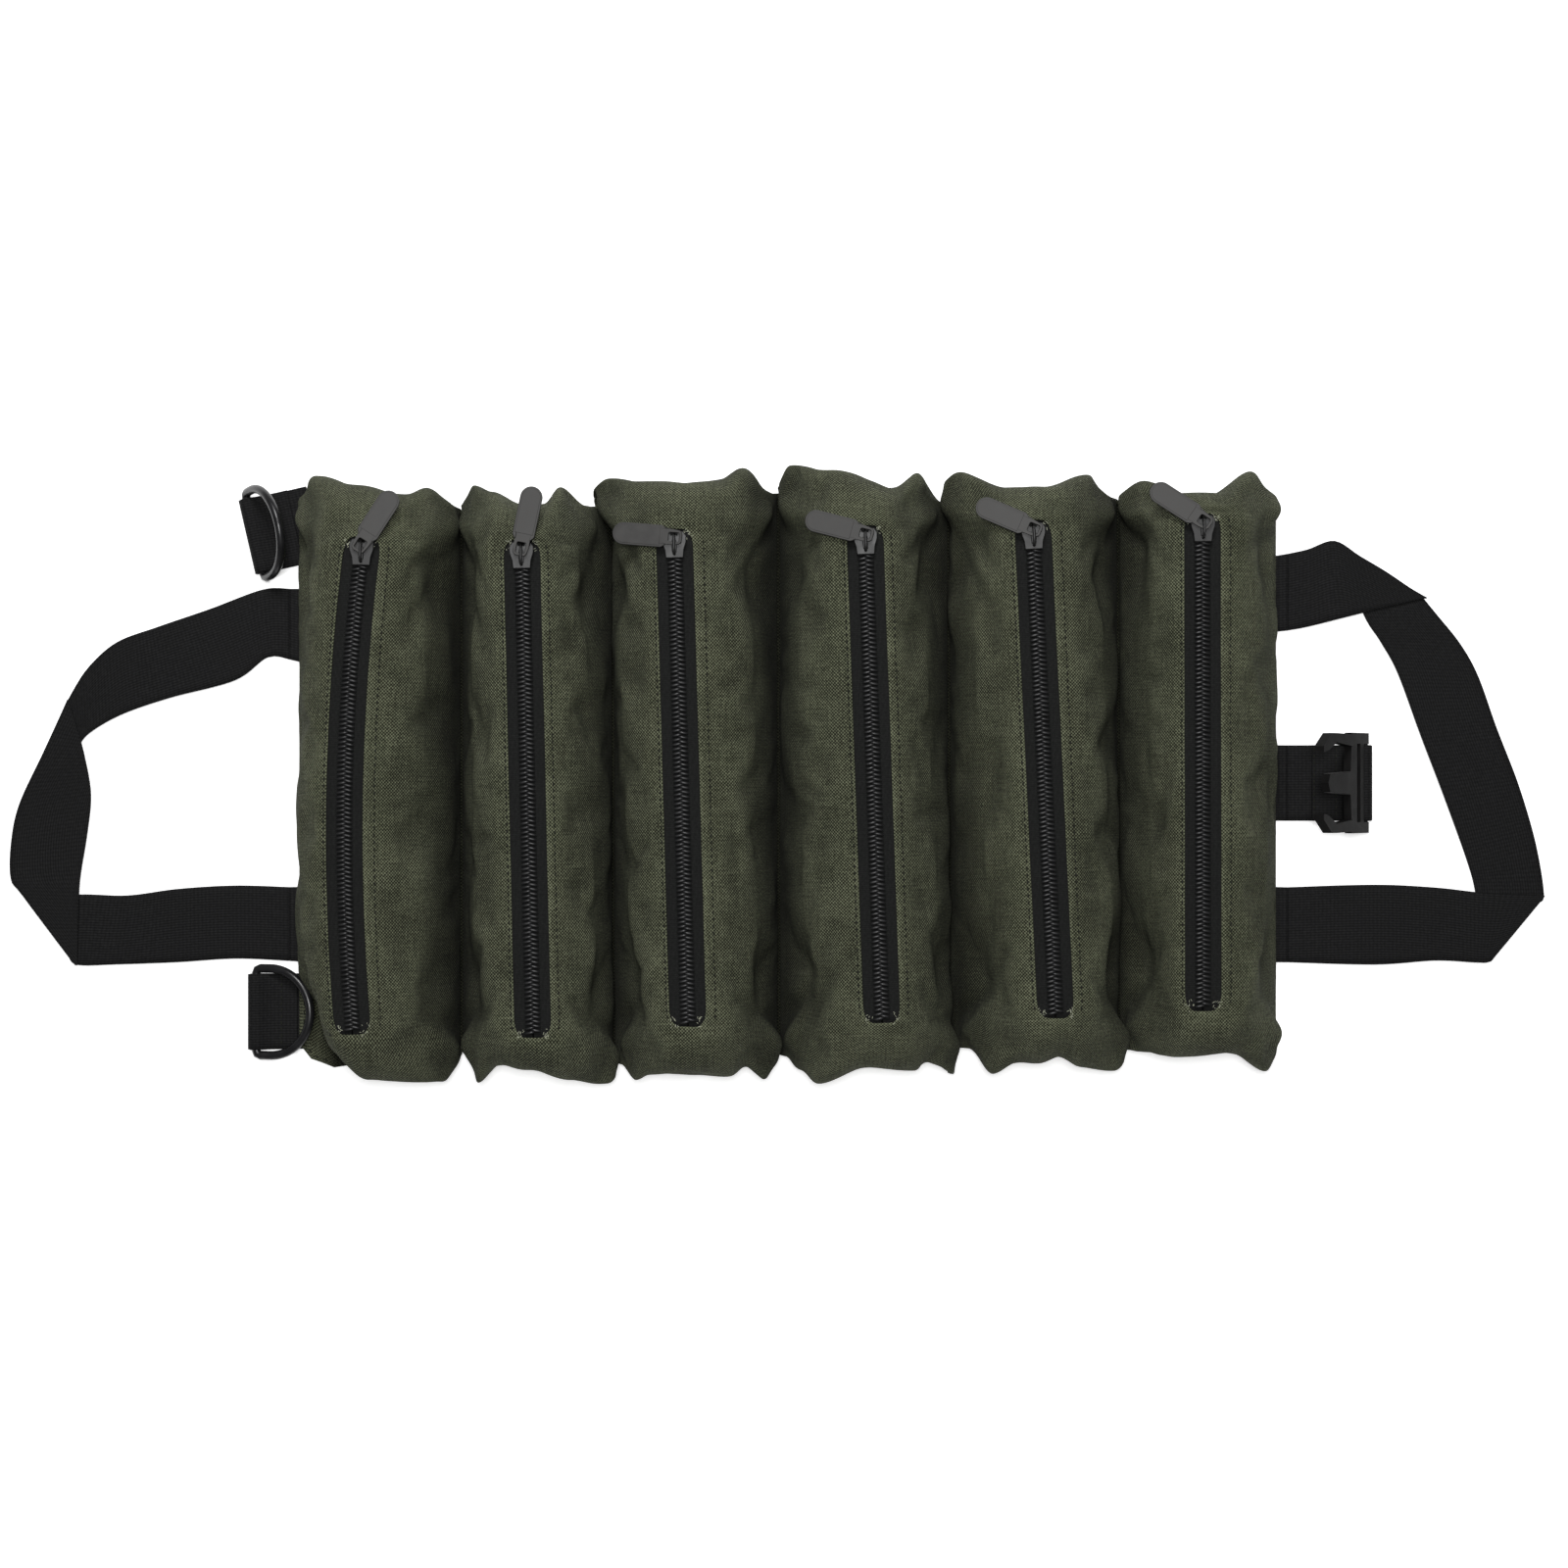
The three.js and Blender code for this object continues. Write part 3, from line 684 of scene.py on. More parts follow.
def pouch_point(number, station, side, s, h, centre):
    """One point of a pouch: side is -1 or 1, (s, h) its place on the half section, and centre its place
    between the edges of the zip opening, for the columns there."""
    end, share, v = station
    zip_line = ZIPS[number]
    start_y = zip_line.middle.y + v * zip_line.along.y
    nominal = start_y + end * END_REACH * min(share, 1)
    low_x, high_x = EDGES[number]
    if number == 1:
        low_x += max(0.0, CUT_CORNER["from_y"] - nominal) * CUT_CORNER["slope"]
    zip_x = zip_line.point(0, v, 0).x
    width = slot_half_width(v)
    edge = zip_x + side * width
    base = low_x if side < 0 else high_x
    x = base + (edge - base) * s
    if centre is not None:
        x = zip_x + centre * width
    seam = number - 1 if side < 0 else number
    toward_top = (nominal + LEAN["half"]) / (2 * LEAN["half"])
    shift_low, shift_high = VALLEY_SHIFT[seam]
    top = CREST
    y = start_y
    h -= SAG.get((number, side), 0) * math.sin(math.pi * s) * (1 - s)
    if end:
        x += END_SHIFT.get((seam, end), 0) * min(share, 1) * (1 - s)
        tip_y = polyline_at((TOP_ENDS if end > 0 else BOTTOM_ENDS)[number], x)
        turn = min(share, 1) * math.pi / 2
        y = start_y + (tip_y - start_y) * math.sin(turn)
        top = END_RISE + (CREST - END_RISE) * math.cos(turn) ** 0.85
        h = h + (h**0.4 - h) * min(share, 1) ** 2
        if share > 1:
            under = (share - 1) * math.pi / 2
            sewn_y = (back_high(x) if end > 0 else back_low(x)) - end * END_INSET
            y += (sewn_y - y) * (1 - math.cos(under))
            top = END_RISE - (END_RISE - BASE) * math.sin(under)
    z = BASE + (top - BASE) * h
    lean = shift_low + (shift_high - shift_low) * toward_top
    x += lean * min(1.0, (z - BASE) / LEAN["height"]) * (1 - s)
    return Vector((x, y, z))


def pouch_grid(number):
    """Rows of points across the pouch, from its left fold line to its right."""
    half = section_points()
    rows = []
    for station in pouch_stations():
        row = [pouch_point(number, station, -1, s, h, None) for s, h in half]
        row += [pouch_point(number, station, 1, 1, 1, centre) for centre in (-0.5, 0.0, 0.5)]
        row += [pouch_point(number, station, 1, s, h, None) for s, h in reversed(half)]
        rows.append(row)
    return rows


def crease(point, start, end, width):
    """How much a crease between two places lifts a point: a ridge, with a shallow trough beside it."""
    way = end - start
    t = (point - start).dot(way) / way.length_squared
    if not -0.15 < t < 1.0:
        return 0.0
    off = (point - start - way * t).length / width
    fade = min(1.0, (t + 0.15) * 4) * min(1.0, (1 - t) * 2)
    return fade * (math.exp(-off * off) - 0.55 * math.exp(-((off - 2.1) ** 2)))


def corner_folds(number, rows):
    """At each corner of a pouch: ridges from its tip to the end of the zip, and the pinch beside them."""
    rng = random.Random(number * 17)
    ridges, pinches = [], []
    for tip_row, pinch_row, sign in ((TIP_ROW, PINCH_ROW, -1), (-1 - TIP_ROW, -1 - PINCH_ROW, 1)):
        for tip_column, pinch_column, side in ((3, 8, -1), (-4, -9, 1)):
            tip = rows[tip_row][tip_column].copy()
            away = ZIPS[number].point(side * 9, sign * 112, CREST)
            ridges.append((tip, away, rng.uniform(2.4, 4.2), rng.uniform(5, 7)))
            beside = away + Vector((side * 5, -sign * rng.uniform(18, 40), -3))
            ridges.append((tip, beside, rng.uniform(0.8, 1.8), rng.uniform(4, 6)))
            pinches.append((rows[pinch_row][pinch_column].copy(), rng.uniform(3.2, 6.0)))
    return ridges, pinches


def pinch(point, centre, depth):
    across = math.hypot(point.x - centre.x, point.z - centre.z) / 12
    along = (point.y - centre.y) / 17
    return -depth * math.exp(-across * across - along * along)


def crumple(number, rows):
    """Dents all over, and the folds of the four corners."""
    ridges, pinches = corner_folds(number, rows)
    count = len(rows[0])
    seed = Vector((number * 7.3, number * 3.1, 0))
    for row in rows:
        hub = (row[0] + row[-1]) / 2
        for j, point in enumerate(row):
            hold = min(1.0, min(j, count - 1 - j) / 4)
            if abs(point.y - ZIPS[number].middle.y) <= SLOT["half"] + 1:
                near_zip = abs(j - (count - 1) / 2) - 2
                hold *= max(0.0, min(1.0, near_zip / 5))
            outward = Vector((point.x - hub.x, 0, point.z - 8)).normalized()
            lift = 0.0
            for size, stretch, depth in DENTS:
                lift += noise(Vector((point.x, point.y * stretch, point.z)) / size + seed) * depth
            lift += sum(size * crease(point, tip, away, width) for tip, away, size, width in ridges)
            lift += sum(pinch(point, centre, depth) for centre, depth in pinches)
            point += outward * lift * hold


def pouch_mesh(number):
    rows = pouch_grid(number)
    crumple(number, rows)
    stations = pouch_stations()
    count = len(rows[0])
    points = [point for row in rows for point in row]
    faces = []
    for r in range(len(rows) - 1):
        in_slot = stations[r][0] == 0 and stations[r + 1][0] == 0
        for j in range(count - 1):
            if in_slot and COLUMNS <= j < count - 1 - COLUMNS:
                continue
            a = r * count + j
            faces.append((a, a + 1, a + 1 + count, a + count))
    return make_object(f"pouch_cloth_{number}", points, faces, fabric_uvs(rows)), count


def fabric_uvs(rows):
    """Distances across and along the cloth, from its middle."""
    uvs = []
    middle = len(rows[0]) // 2
    travelled = 0.0
    for r, row in enumerate(rows):
        if r:
            travelled += (row[middle - 8] - rows[r - 1][middle - 8]).length
        across = [0.0]
        for a, b in zip(row, row[1:]):
            across.append(across[-1] + (b - a).length)
        uvs += [(u - across[middle], travelled) for u in across]
    return uvs


def hold_weight(station, j, count):
    """How firmly a point is held while the pouch swells: 1 at its zip, fold lines and tucked ends."""
    end, share, _ = station
    from_fold = min(j, count - 1 - j)
    from_zip = COLUMNS - from_fold
    if from_fold < 2 or share > 1 or (end == 0 and from_zip < 1):
        return 1.0
    if end == 0 and from_zip < 4:
        return 0.9 - 0.2 * from_zip
    return 0.02


def swell(cloth):
    """Cloth simulation: the pouch fills under a little pressure, and its spare cloth wrinkles."""
    scene = bpy.context.scene
    stations = pouch_stations()
    count = len(cloth.data.vertices) // len(stations)
    held = cloth.vertex_groups.new(name="held")
    for r, station in enumerate(stations):
        for j in range(count):
            held.add([r * count + j], hold_weight(station, j, count), "REPLACE")
    modifier = cloth.modifiers.new("swell", "CLOTH")
    tune(modifier.settings, **CLOTH)
    modifier.settings.effector_weights.gravity = 0
    modifier.collision_settings.use_collision = False
    modifier.point_cache.frame_end = SWELL["frames"]
    for step in range(1, SWELL["frames"] + 1):
        scene.frame_set(step)
    swollen = cloth.evaluated_get(bpy.context.evaluated_depsgraph_get()).data
    moved = [point.co.copy() for point in swollen.vertices]
    for point, place in zip(cloth.data.vertices, moved):
        point.co += capped(place - point.co, point.co.z / MM)
    cloth.modifiers.remove(modifier)
    cloth.vertex_groups.remove(held)
    scene.frame_set(1)


def capped(step, height):
    """A move cut to what the neighbours, the zip and the pulls leave room for."""
    step = step / MM
    if step.length > SWELL["cap"]:
        step = step * SWELL["cap"] / step.length
    sideways = SWELL["cap"] if height > SWELL["low"] else SWELL["low_cap"]
    step.x = max(-sideways, min(sideways, step.x))
    step.z = min(step.z, SWELL["rise"])
    return step * MM


def add_pouch(number):
    cloth, count = pouch_mesh(number)
    swell(cloth)
    points = [point.co / MM for point in cloth.data.vertices]
    tune(cloth.modifiers.new("wall", "SOLIDIFY"), thickness=WALL * MM, offset=-1)
    tune(cloth.modifiers.new("smooth", "SUBSURF"), levels=1, render_levels=1)
    body = None if number in FOLD_SIDE else f"panel_{number}"
    dress(cloth, "canvas", "canvas", body, f"pouch_{number}")
    if number in FOLD_SIDE:
        give_way(cloth)
    add_zip_stitches(number, points, count)
    add_frayed_ends(number)


def give_way(cloth):
    """Bakes the cloth's placement into its mesh, so that it rides on no body."""
    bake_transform(cloth)


def add_zip_stitches(number, points, count):
    """A row of stitches on each side of the zip, closer to it on the left."""
    rows = [r for r, (end, _, v) in enumerate(pouch_stations()) if end == 0 and abs(v) < SLOT["half"] - 1]
    lines = []
    for edge, onward, out in ((COLUMNS, -1, 0.5), (count - 1 - COLUMNS, 1, 1.3)):
        near, share = int(out), out - int(out)
        line = []
        for r in rows:
            a = points[r * count + edge + onward * near]
            b = points[r * count + edge + onward * (near + 1)]
            line.append(a.lerp(b, share) + Vector((0, 0, 0.12)))
        lines.append(line)
    sew(f"pouch_stitches_{number}", lines, "canvas", f"panel_{number}", 3.4, 0.55, 0.42)


def add_frayed_ends(number):
    """Pale cut threads that stick out of the canvas at both ends of the zip opening."""
    rng = random.Random(number * 29)
    threads = Bits()
    for sign, side in ((-1, -1), (-1, 1), (1, -1), (1, 1)):
        for _ in range(FRAYS):
            u = side * rng.uniform(4.5, 8.2)
            start = ZIPS[number].point(u, sign * (SLOT["half"] - rng.uniform(0, 5)), CREST - 0.3)
            turn = rng.uniform(0, 2 * math.pi)
            reach = rng.uniform(0.7, 1.8)
            lean = Vector((math.cos(turn) * reach, math.sin(turn) * reach, rng.uniform(0.2, 0.7)))
            threads.bar(start, start + lean, 0.14, sides=5)
    dress(threads.object(f"pouch_frays_{number}"), "pale_thread", "canvas", f"panel_{number}")


# ---- Zips ----
TAPE = {"half": 121.5, "gap": 0.15, "width": 11.0, "bottom": 51.3, "top": 52.1, "steps": 25}
TOOTH = {"pitch": 2.2, "reach": 4.0, "past": 0.9, "radius": 0.82}


def add_zip(number):
    zip_line = ZIPS[number]
    level = (TAPE["bottom"] + TAPE["top"]) / 2
    for side, name in ((-1, "left"), (1, "right")):
        inner, outer = sorted((side * TAPE["gap"], side * TAPE["width"]))
        rungs = []
        for k in range(2 * TAPE["steps"] + 1):
            v = TAPE["half"] * (k / TAPE["steps"] - 1)
            rungs.append([*zip_line.point(inner, v, level), *zip_line.point(outer, v, level)])
        tape = ribbon(f"zip_{number}_tape_{name}", rungs, TAPE["top"] - TAPE["bottom"], 4)
        stands = [f"zipper_tape_{number}"] if side < 0 else []
        dress(tape, "zipper_tape", "zipper_tape", f"panel_{number}", *stands)
    add_teeth(zip_line, number)


def add_teeth(zip_line, number):
    """Two rows of coil turns that mesh along the middle, as far as the slider."""
    teeth = Bits()
    reach = zip_line.half - 1
    z = sum(zip_line.chain) / 2 + 0.1
    for side in (-1, 1):
        for k in range(int(2 * reach / TOOTH["pitch"])):
            v = -reach + TOOTH["pitch"] * (k + (0.75 if side > 0 else 0.25))
            inner = zip_line.point(-side * TOOTH["past"], v + 0.55, z + 0.15)
            outer = zip_line.point(side * TOOTH["reach"], v - 0.45, z - 0.25)
            teeth.bar(inner, outer, TOOTH["radius"], 1.1)
    piece = teeth.object(f"zip_{number}_teeth")
    dress(piece, "zipper_coil", "zipper_coil", f"panel_{number}", f"zipper_chain_{number}")


# ---- Sliders and pulls ----
SLIDER = {"bottom": 49.8, "plate": 1.2, "rim": 52.5, "top": 56.1, "lock": 57.6, "leg_y": 3.5}
SLIDER_OUTLINE = [
    (-4.2, -6.3), (4.2, -6.3), (4.6, -2.5), (5.8, 1.2), (5.9, 4.2), (4.4, 6.3), (1.9, 6.3), (1.4, 4.6),
    (-1.4, 4.6), (-1.9, 6.3), (-4.4, 6.3), (-5.9, 4.2), (-5.8, 1.2), (-4.6, -2.5),
]
PULL = {"z": 58.0, "length": 30.0, "half": 5.4, "thick": 1.2}


def add_slider(number):
    place = ZIPS[number].slider_place()
    bottom, plate, top = SLIDER["bottom"], SLIDER["plate"], SLIDER["top"]
    name = f"zip_{number}_slider"
    neck = [(-0.4, 0.5), (0.4, 0.5), (0.4, 4), (-0.4, 4)]
    ridge = [(-1.1, -3.6), (1.1, -3.6), (1.35, -0.5), (1.1, 2.2), (-1.1, 2.2), (-1.35, -0.5)]
    rim = [(4.5, -1.6), (5.75, 0.8), (5.75, 4.4), (4.9, 4.4)]
    plates = [
        (SLIDER_OUTLINE, top - plate - 0.2, top, 0.35),
        (SLIDER_OUTLINE, bottom, bottom + plate, 0.3),
        (neck, bottom + 0.5, top - 0.5, 0.05),
        ([(-x, y) for x, y in rim], SLIDER["rim"], top - 0.4, 0.15),
        (rim, SLIDER["rim"], top - 0.4, 0.15),
        (ridge, top - 0.2, SLIDER["lock"], 0.35),
    ]
    parts = [slab(name, [outline], low, high, edge, place) for outline, low, high, edge in plates]
    arch = [(0, 4.0, top - 0.6), (0, 4.0, 58.6), (0, 2.9, 59.7), (0, 0.6, 59.95), (0, -2.6, 59.7)]
    arch += [(0, -4.2, 58.4), (0, -4.5, top - 0.6)]
    path = [place @ Vector(point) for point in curve_through(arch, 0.6)]
    parts.append(tube(name + "_bail", path, 0.72, sides=12))
    dress(joined(name, parts), "slider_metal", "black_metal", f"slider_{number}", f"slider_{number}")


def pull_place(number):
    """Where the pull's eye is, and which way its tab points, from the joint it turns on."""
    if f"pull_{number}_flip" in JOINTS:
        axis = JOINTS[f"pull_{number}_flip"]["axis"]
        heading, droop = math.atan2(axis[0], -axis[1]), 0.0
    else:
        axis = JOINTS[f"pull_{number}_swivel"]["axis"]
        heading, droop = math.atan2(-axis[1], -axis[0]), math.acos(min(1.0, abs(axis[2])))
    eye = ZIPS[number].slider_place() @ Vector((0, SLIDER["leg_y"], PULL["z"]))
    turn = Matrix.Rotation(heading, 4, "Z") @ Matrix.Rotation(droop, 4, "Y")
    return Matrix.Translation(eye) @ turn


def add_pull(number):
    place = pull_place(number)
    half, length, thick = PULL["half"], PULL["length"], PULL["thick"]
    end = arc((length - half, 0), half, -90, 90, 14)
    rim = [(5.2, -half + 0.5), (6.2, -half), *end, (6.2, half), (5.2, half - 0.5)]
    rim += [(3.6, 3.6), (-2.2, 3.4), *arc((-2.0, 1.4), 2.0, 90, 180, 4)]
    rim += [*arc((-2.0, -1.4), 2.0, 180, 270, 4), (-2.2, -3.4), (3.6, -3.6)]
    hole = []
    for x, y, start in ((1.9, 1.5, 90), (1.9, -1.5, 0), (-1.9, -1.5, -90), (-1.9, 1.5, 180)):
        hole += arc((x, y), 0.7, start, start - 90, 3)
    name = f"zip_{number}_pull"
    parts = [slab(name, [rim, hole], -thick / 2, thick / 2, 0.28, place)]
    inner = arc((length - half, 0), half - 0.9, -90, 90, 14)
    face = [(6.8, -half + 0.9), *inner, (6.8, half - 0.9)]
    parts.append(slab(name + "_face", [face], 0, thick / 2 + 0.18, 0.16, place))
    dress(joined(name, parts), "black_metal", "black_metal", f"pull_{number}", f"pull_{number}")


# ---- The back: its canvas, its webbing and the strips across the folds ----
def sheet_rungs(x0, x1, y_low, y_high, z, step=6.0):
    """Rungs of a flat strip that runs along X, with its edges at y_low(x) and y_high(x)."""
    count = max(1, round((x1 - x0) / step))
    made = []
    for k in range(count + 1):
        x = x0 + (x1 - x0) * k / count
        made.append([x, y_low(x), z, x, y_high(x), z])
    return made


def blend_strip(strip):
    """Bakes a strip's placement into its mesh, so that it rides on no body."""
    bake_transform(strip)


def add_run(name, material, slot, node, y_low, y_high, across):
    """One layer of the back: a piece on each panel, and a strip across each fold."""
    for number in NUMBERS:
        low, high = box_mm(node.format(number))
        thick = min(high.z - low.z, WEBBING_THICK)
        z = low.z + thick / 2
        x0, x1 = low.x + SEAM_HALF, high.x - SEAM_HALF
        if slot == "canvas":
            z, thick = SHEET["z"], SHEET["thick"]
            x0 = low.x if number == 1 else x0
            x1 = high.x if number == 6 else x1
        piece = ribbon(f"{name}_{number}", sheet_rungs(x0, x1, y_low, y_high, z), thick, across)
        dress(piece, material, slot, f"panel_{number}", node.format(number))
        area = (x1 - x0) * (y_high(x0) - y_low(x0)) * MM * MM
        (y_high(x0) - y_low(x0)) * MM
        if number < 6:
            rungs = sheet_rungs(x1, x1 + FOLD_STRIP, y_low, y_high, z, 1.0)
            strip = ribbon(f"{name}_fold_{number}", rungs, thick, across)
            dress(strip, material, slot)
            flat = (FOLD_STRIP * MM, (y_high(x1) - y_low(x1)) * MM)
            blend_strip(strip)


def strap_y(x, offset):
    """Y along the upper webbing run, which climbs from left to right."""
    low, high = box_mm("upper_back_strap_1"), box_mm("upper_back_strap_6")
    start, finish = low[0].y + STRAP_HALF, high[1].y - STRAP_HALF
    return start + (finish - start) * (x - low[0].x) / (high[1].x - low[0].x) + offset


def add_back():
    add_run("back", "back_canvas", "canvas", "back_panel_{}", back_low, back_high, 60)
    add_run(
        "upper_run", "webbing", "webbing", "upper_back_strap_{}",
        lambda x: strap_y(x, -STRAP_HALF), lambda x: strap_y(x, STRAP_HALF), 10,
    )
    low, high = box_mm("lower_back_strap_1")
    add_run("lower_run", "webbing", "webbing", "lower_back_strap_{}", lambda x: low.y, lambda x: high.y, 10)
    add_hems()


def add_hems():
    """A row of stitches along each free edge of the back panel, on its face and on its back."""
    face = box_mm("back_panel_1")[1].z
    for number in NUMBERS:
        low, high = box_mm(f"back_panel_{number}")
        lines = []
        for z in (face + 0.05, low.z - 0.05):
            for edge, inset in ((back_low, HEM), (back_high, -HEM)):
                places = [low.x + 1 + (high.x - low.x - 2) * k / 12 for k in range(13)]
                lines.append([(x, edge(x) + inset, z) for x in places])
            x = low.x + HEM if number == 1 else high.x - HEM
            if number in (1, 6):
                lines.append([(x, back_low(x) + 3, z), (x, back_high(x) - 3, z)])
        sew(f"back_stitches_{number}", lines, "canvas", f"panel_{number}", 4.5)


# ---- Handles: flat webbing that is folded over at its corners ----
# Rungs of each leg: the edge on the left of its run, the edge on the right, and its height.
LEVEL, OVER = 0.85, 2.55
LEFT_LEGS = {
    "upper": [
        (-246, 93.2, -246, 57.6, LEVEL), (-259.8, 92.8, -257, 58.6, LEVEL), (-286, 83, -273.4, 47, 1.6),
        (-312, 74, -306, 38.2, 2.2), (-332.8, 66.3, -330, 30, 1.4), (-347, 54, -346, 21, LEVEL),
        (-355.8, 40.5, -352, 14, LEVEL), (-361, 30, -356, 6, LEVEL),
    ],
    "side": [
        (-357.3, 37.6, -356.6, 36.6, OVER), (-361.6, 28, -352.9, 25, OVER), (-370, 10, -348.6, 9, 2.2),
        (-381.9, -15, -345.7, -10, 1.3), (-386, -34, -347.4, -29, 1.3), (-386, -52.4, -350.6, -50, 2.0),
        (-380, -61, -351.4, -62, OVER), (-357.5, -91, -352, -90, OVER), (-353.5, -96, -352.2, -96, OVER),
    ],
    "lower": [
        (-378, -63, -357, -91, LEVEL), (-352, -60.5, -353, -96, LEVEL), (-327.6, -61, -333, -95.8, LEVEL),
        (-302, -57.7, -302, -94.6, 1.4), (-273.4, -56, -273, -92.8, 1.6), (-246, -56.8, -246, -94, LEVEL),
    ],
}
RIGHT_LEGS = {
    "upper": [
        (256, 110.8, 256, 72.2, LEVEL), (266, 113, 266, 74, 1.2), (279.3, 117.2, 284, 78.5, 2.4),
        (292, 109.6, 299, 82.3, OVER), (305.4, 101.6, 311, 85, OVER), (318, 93.1, 321, 87.4, OVER),
        (325.6, 88.8, 325.6, 88.2, OVER),
    ],
    "side": [
        (323, 90, 282, 113, LEVEL), (331.4, 79.9, 294, 80.6, LEVEL), (343, 65.4, 302.5, 66.8, LEVEL),
        (351.7, 49.4, 311.1, 50.9, 1.4), (361, 23, 322.7, 19, 2.0), (372, -5.6, 334.3, -11.4, 2.0),
        (380.7, -34.6, 345.9, -43.2, 1.2), (385, -60, 350.5, -60.5, LEVEL),
        (382.5, -64.5, 355, -92.5, LEVEL),
    ],
    "lower": [
        (256, -56.9, 256, -94.7, LEVEL), (300, -55.6, 300, -95.8, 1.5), (330, -57, 330, -93.8, 1.8),
        (350, -59.2, 350, -94.7, OVER), (366, -60.2, 357, -94.4, OVER), (378, -60.6, 361, -90.2, OVER),
        (385, -61, 384, -62.4, OVER),
    ],
}
HINGE_HALF = 4.0


def add_handle(side, legs):
    body = f"handle_{side}"
    for name, rungs in legs.items():
        rows = curve_through([(x0, y0, z, x1, y1, z) for x0, y0, x1, y1, z in rungs], 4)
        leg = ribbon(f"{body}_{name}", rows, WEBBING_THICK * 0.9, 10)
        stands = (body,) if name == "upper" else ()
        dress(leg, "webbing", "webbing", body, *stands)
    bridge(side, legs)


def bridge(side, legs):
    """The short lengths of webbing that run between the panel and the handle."""
    x_edge = JOINTS[f"handle_{side}_swing"]["pos_m"][0] / MM
    start, last = box_mm("upper_back_strap_6")[1].x - SEAM_HALF, 0
    if side == "left":
        start, last = box_mm("upper_back_strap_1")[0].x + SEAM_HALF, -1
    low, high = box_mm("lower_back_strap_1")
    inner = {"upper": [strap_y(x_edge, way * STRAP_HALF) for way in (-1, 1)], "lower": [low.y, high.y]}
    for name, end in (("upper", 0), ("lower", last)):
        x, y0, _, y1, z = legs[name][end]
        y_low, y_high = inner[name]
        ends = [[start, y_low, LEVEL, start, y_high, LEVEL], [x, min(y0, y1), z, x, max(y0, y1), z]]
        rungs = [[a + (b - a) * k / 8 for a, b in zip(*ends)] for k in range(9)]
        strip = ribbon(f"handle_{side}_{name}_hinge", rungs, WEBBING_THICK * 0.95, 10)
        dress(strip, "webbing", "webbing")
        blend_strip(strip)


# ---- D-rings on their tabs ----
RING = {"wire": 2.2, "half": 21.8, "side": 7.8, "corner": 2.5}
TAB_REACH = {"lower": 38, "upper": 30}
TAB_LOOP = 3.3  # radius of the middle of the webbing round a bar
TAB_NOSE = 14.5  # how far in from its bar a tab's two layers meet
STRAP_LEVEL = 0.8


def strap_path(name, profile, place):
    """A strap of full width along a side profile of (x, z) points."""
    ends = (-STRAP_HALF, STRAP_HALF)
    rungs = [[value for y in ends for value in place @ Vector((x, y, z))] for x, z in profile]
    return ribbon(name, rungs, WEBBING_THICK, 10)


def loop_profile(reach, bar_z):
    """A strap end that runs in along the bottom, round a bar at x = 0, and back along the top."""
    lower = [(reach - k * (reach / 8), STRAP_LEVEL) for k in range(8)]
    round_bar = arc((0, bar_z), TAB_LOOP, 270, 75, 16)
    back = [round_bar[-1], (6, 4.2), (TAB_NOSE - 3, 2.65), (TAB_NOSE + 6, 2.45)]
    return lower + round_bar + curve_through(back, 1.5)[1:]


def add_ring(name):
    joint = JOINTS[f"d_ring_{name}_swing"]
    axis = joint["axis"]
    pivot = Vector(joint["pos_m"]) / MM
    turn = Matrix.Rotation(math.atan2(-axis[0], axis[1]), 4, "Z")
    half, side = RING["half"], RING["side"]
    tilt = math.asin((box_mm(f"d_ring_{name}")[1].z - pivot.z - RING["wire"] * 0.8) / (side + half))
    place = Matrix.Translation(pivot) @ turn @ Matrix.Rotation(-tilt, 4, "Y")
    corner = RING["corner"]
    turns = [math.pi * (k / 32 - 0.5) for k in range(33)]
    bow = [(side + half * math.cos(turned), half * math.sin(turned)) for turned in turns]
    lower = [(0, -half + corner), (0.7, -half + 0.7), (corner, -half)]
    upper = [(x, -y) for x, y in reversed(lower)]
    bar = [(0, half - corner - k * (half - corner) / 6) for k in range(1, 12)]
    path = [place @ Vector((x, y, 0)) for x, y in lower + bow + upper + bar]
    ring = tube(f"d_ring_{name}_wire", path, RING["wire"], True, 18)
    dress(ring, "ring_metal", "black_metal", f"d_ring_{name}", f"d_ring_{name}")
    base = Matrix.Translation((pivot.x, pivot.y, 0)) @ turn
    tab = strap_path(f"d_ring_{name}_tab", loop_profile(TAB_REACH[name], pivot.z), base)
    dress(tab, "webbing", "webbing", "panel_1", f"d_ring_tab_{name}")
    lines = [[base @ Vector((x, y, 3.4)) for y in (-17, 17)] for x in (9.5, 12.5)]
    sew(f"d_ring_{name}_stitches", lines, "webbing", "panel_1", 3.2)


# ---- Buckle ----
SOCKET_BAR = 4.1  # the socket's bar, up from the ground and in from the end of its tab


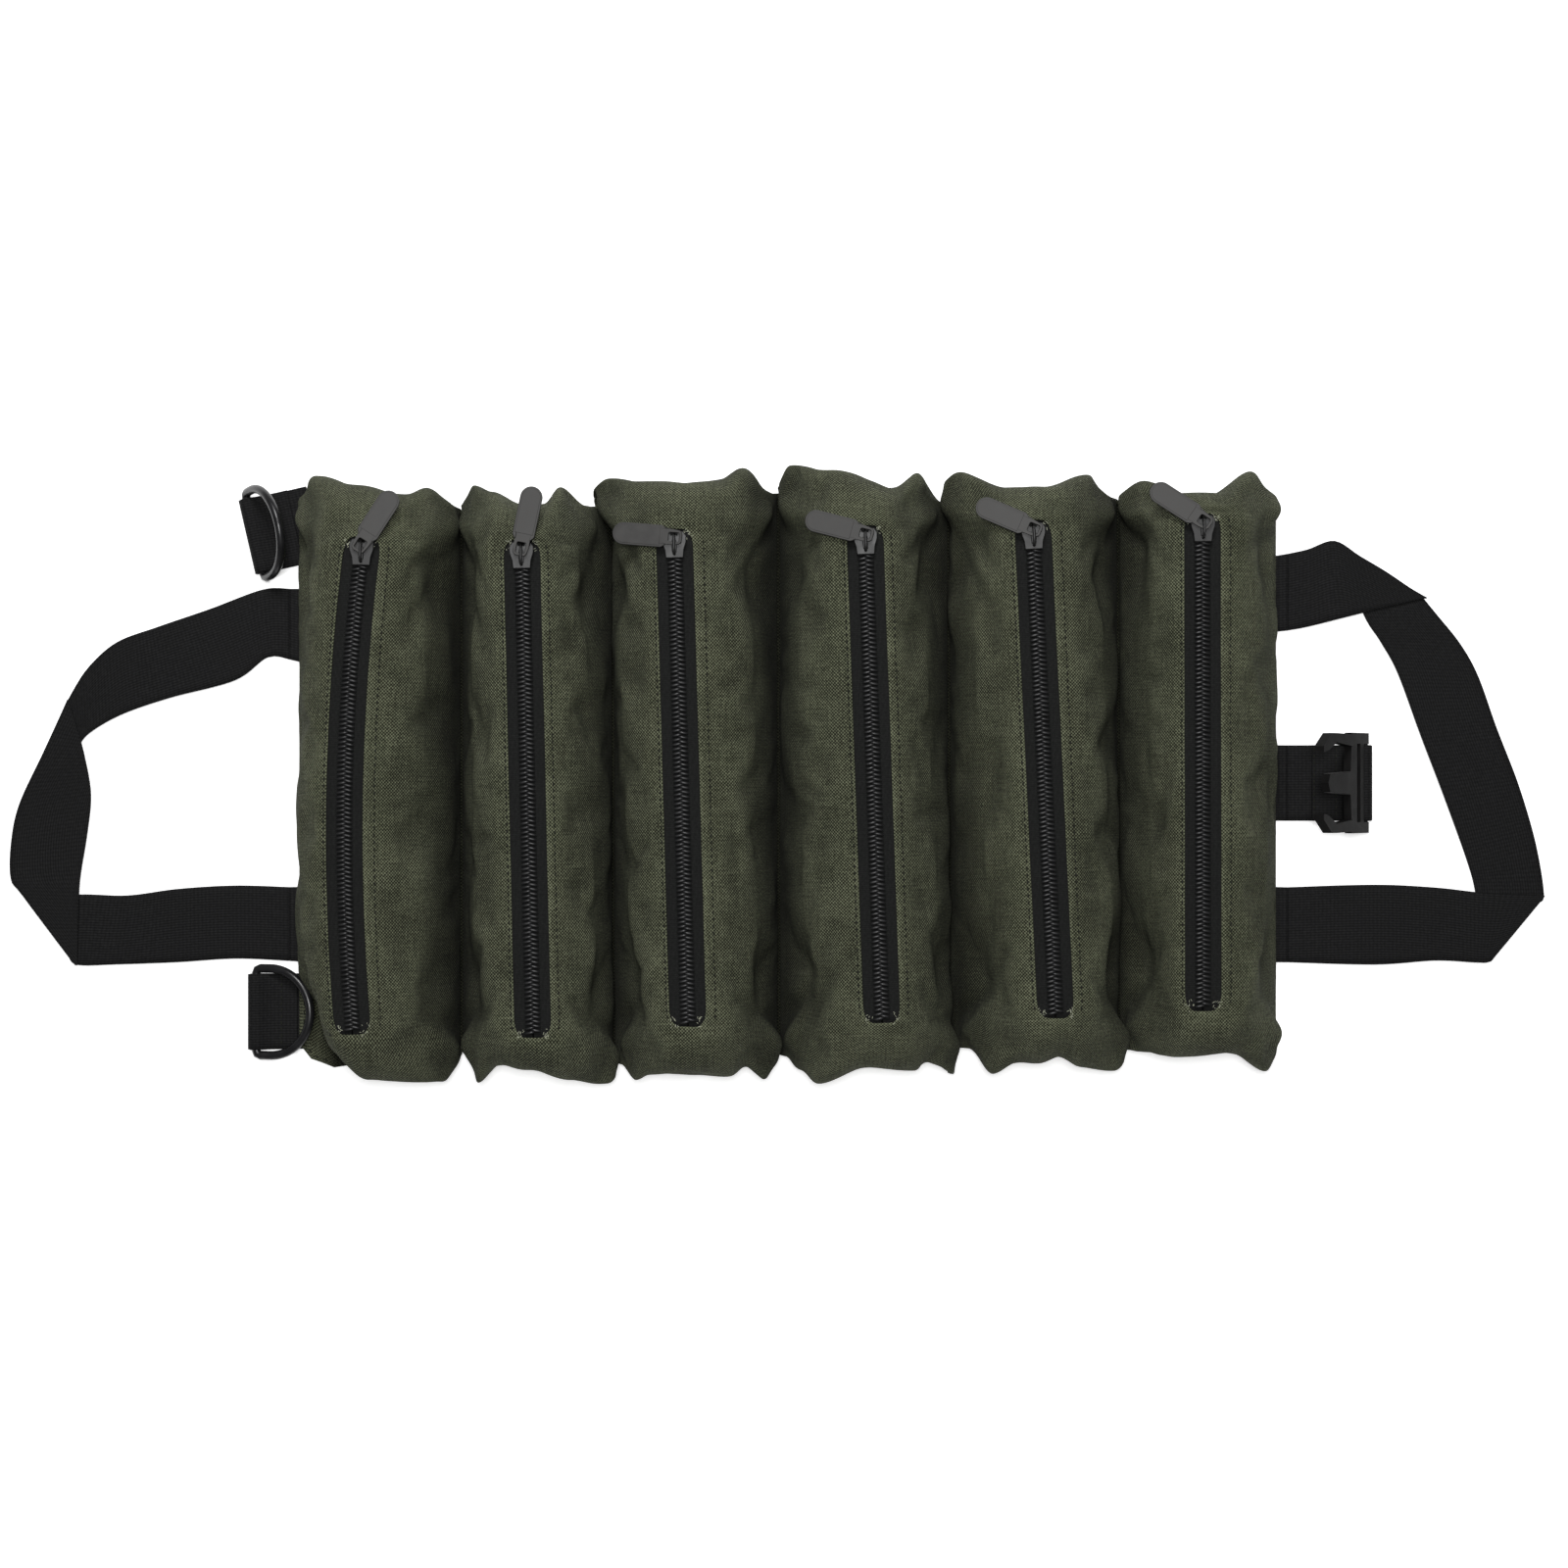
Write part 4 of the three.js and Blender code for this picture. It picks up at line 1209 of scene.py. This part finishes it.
def add_buckle():
    for node in ("buckle_male", "buckle_female"):
        part = frame["nodes"][node]
        part.data.materials.clear()
        part.data.materials.append(MATERIALS["buckle_plastic"])
        bevel = tune(part.modifiers.new("edges", "BEVEL"), width=0.5 * MM, segments=2)
        tune(bevel, limit_method="ANGLE", angle_limit=math.radians(35), harden_normals=True)
    bar = JOINTS["buckle_male_swing"]["pos_m"]
    bar_x, bar_y, bar_z = (value / MM for value in bar)
    hinge_x = JOINTS["buckle_strap_swing"]["pos_m"][0] / MM
    hinge_end = hinge_x + HINGE_HALF
    run = [(hinge_end + k * (bar_x - hinge_end) / 10, STRAP_LEVEL) for k in range(10)]
    round_bar = arc((bar_x, bar_z), bar_z - STRAP_LEVEL, -90, 172, 18)
    back = [round_bar[-1], (bar_x - 6.5, 2.75), (bar_x - 12, 2.45), (bar_x - 26, 2.4)]
    place = Matrix.Translation((0, bar_y, 0))
    strap = strap_path("buckle_strap_webbing", run + round_bar + curve_through(back, 1.5)[1:], place)
    dress(strap, "webbing", "webbing", "buckle_strap", "buckle_strap")
    hinge = [(hinge_x - HINGE_HALF + k, STRAP_LEVEL) for k in range(int(2 * HINGE_HALF) + 1)]
    strip = strap_path("buckle_strap_hinge", hinge, place)
    dress(strip, "webbing", "webbing")
    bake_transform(strip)
    start = box_mm("buckle_strap_anchor")[0].x
    sewn = [(start + k * (hinge[0][0] - start) / 8, STRAP_LEVEL) for k in range(9)]
    anchor = strap_path("buckle_strap_sewn_end", sewn, place)
    dress(anchor, "webbing", "webbing", "panel_6", "buckle_strap_anchor")
    base = Matrix.Translation((box_mm("buckle_female_tab")[0].x + SOCKET_BAR, bar_y, 0))
    tab = strap_path("buckle_socket_tab", loop_profile(28, SOCKET_BAR), base)
    dress(tab, "webbing", "webbing", "panel_4", "buckle_female_tab")
    lines = [[(x, bar_y + y, 3.3) for y in (-17, 17)] for x in (bar_x - 25, bar_x - 14)]
    sew("buckle_strap_stitches", lines, "webbing", "buckle_strap", 3.2)


MATERIALS = make_materials()
add_camera()
add_studio()
for number in NUMBERS:
    add_pouch(number)
    add_zip(number)
    add_slider(number)
    add_pull(number)
add_back()
add_handle("left", LEFT_LEGS)
add_handle("right", RIGHT_LEGS)
add_ring("lower")
add_ring("upper")
add_buckle()
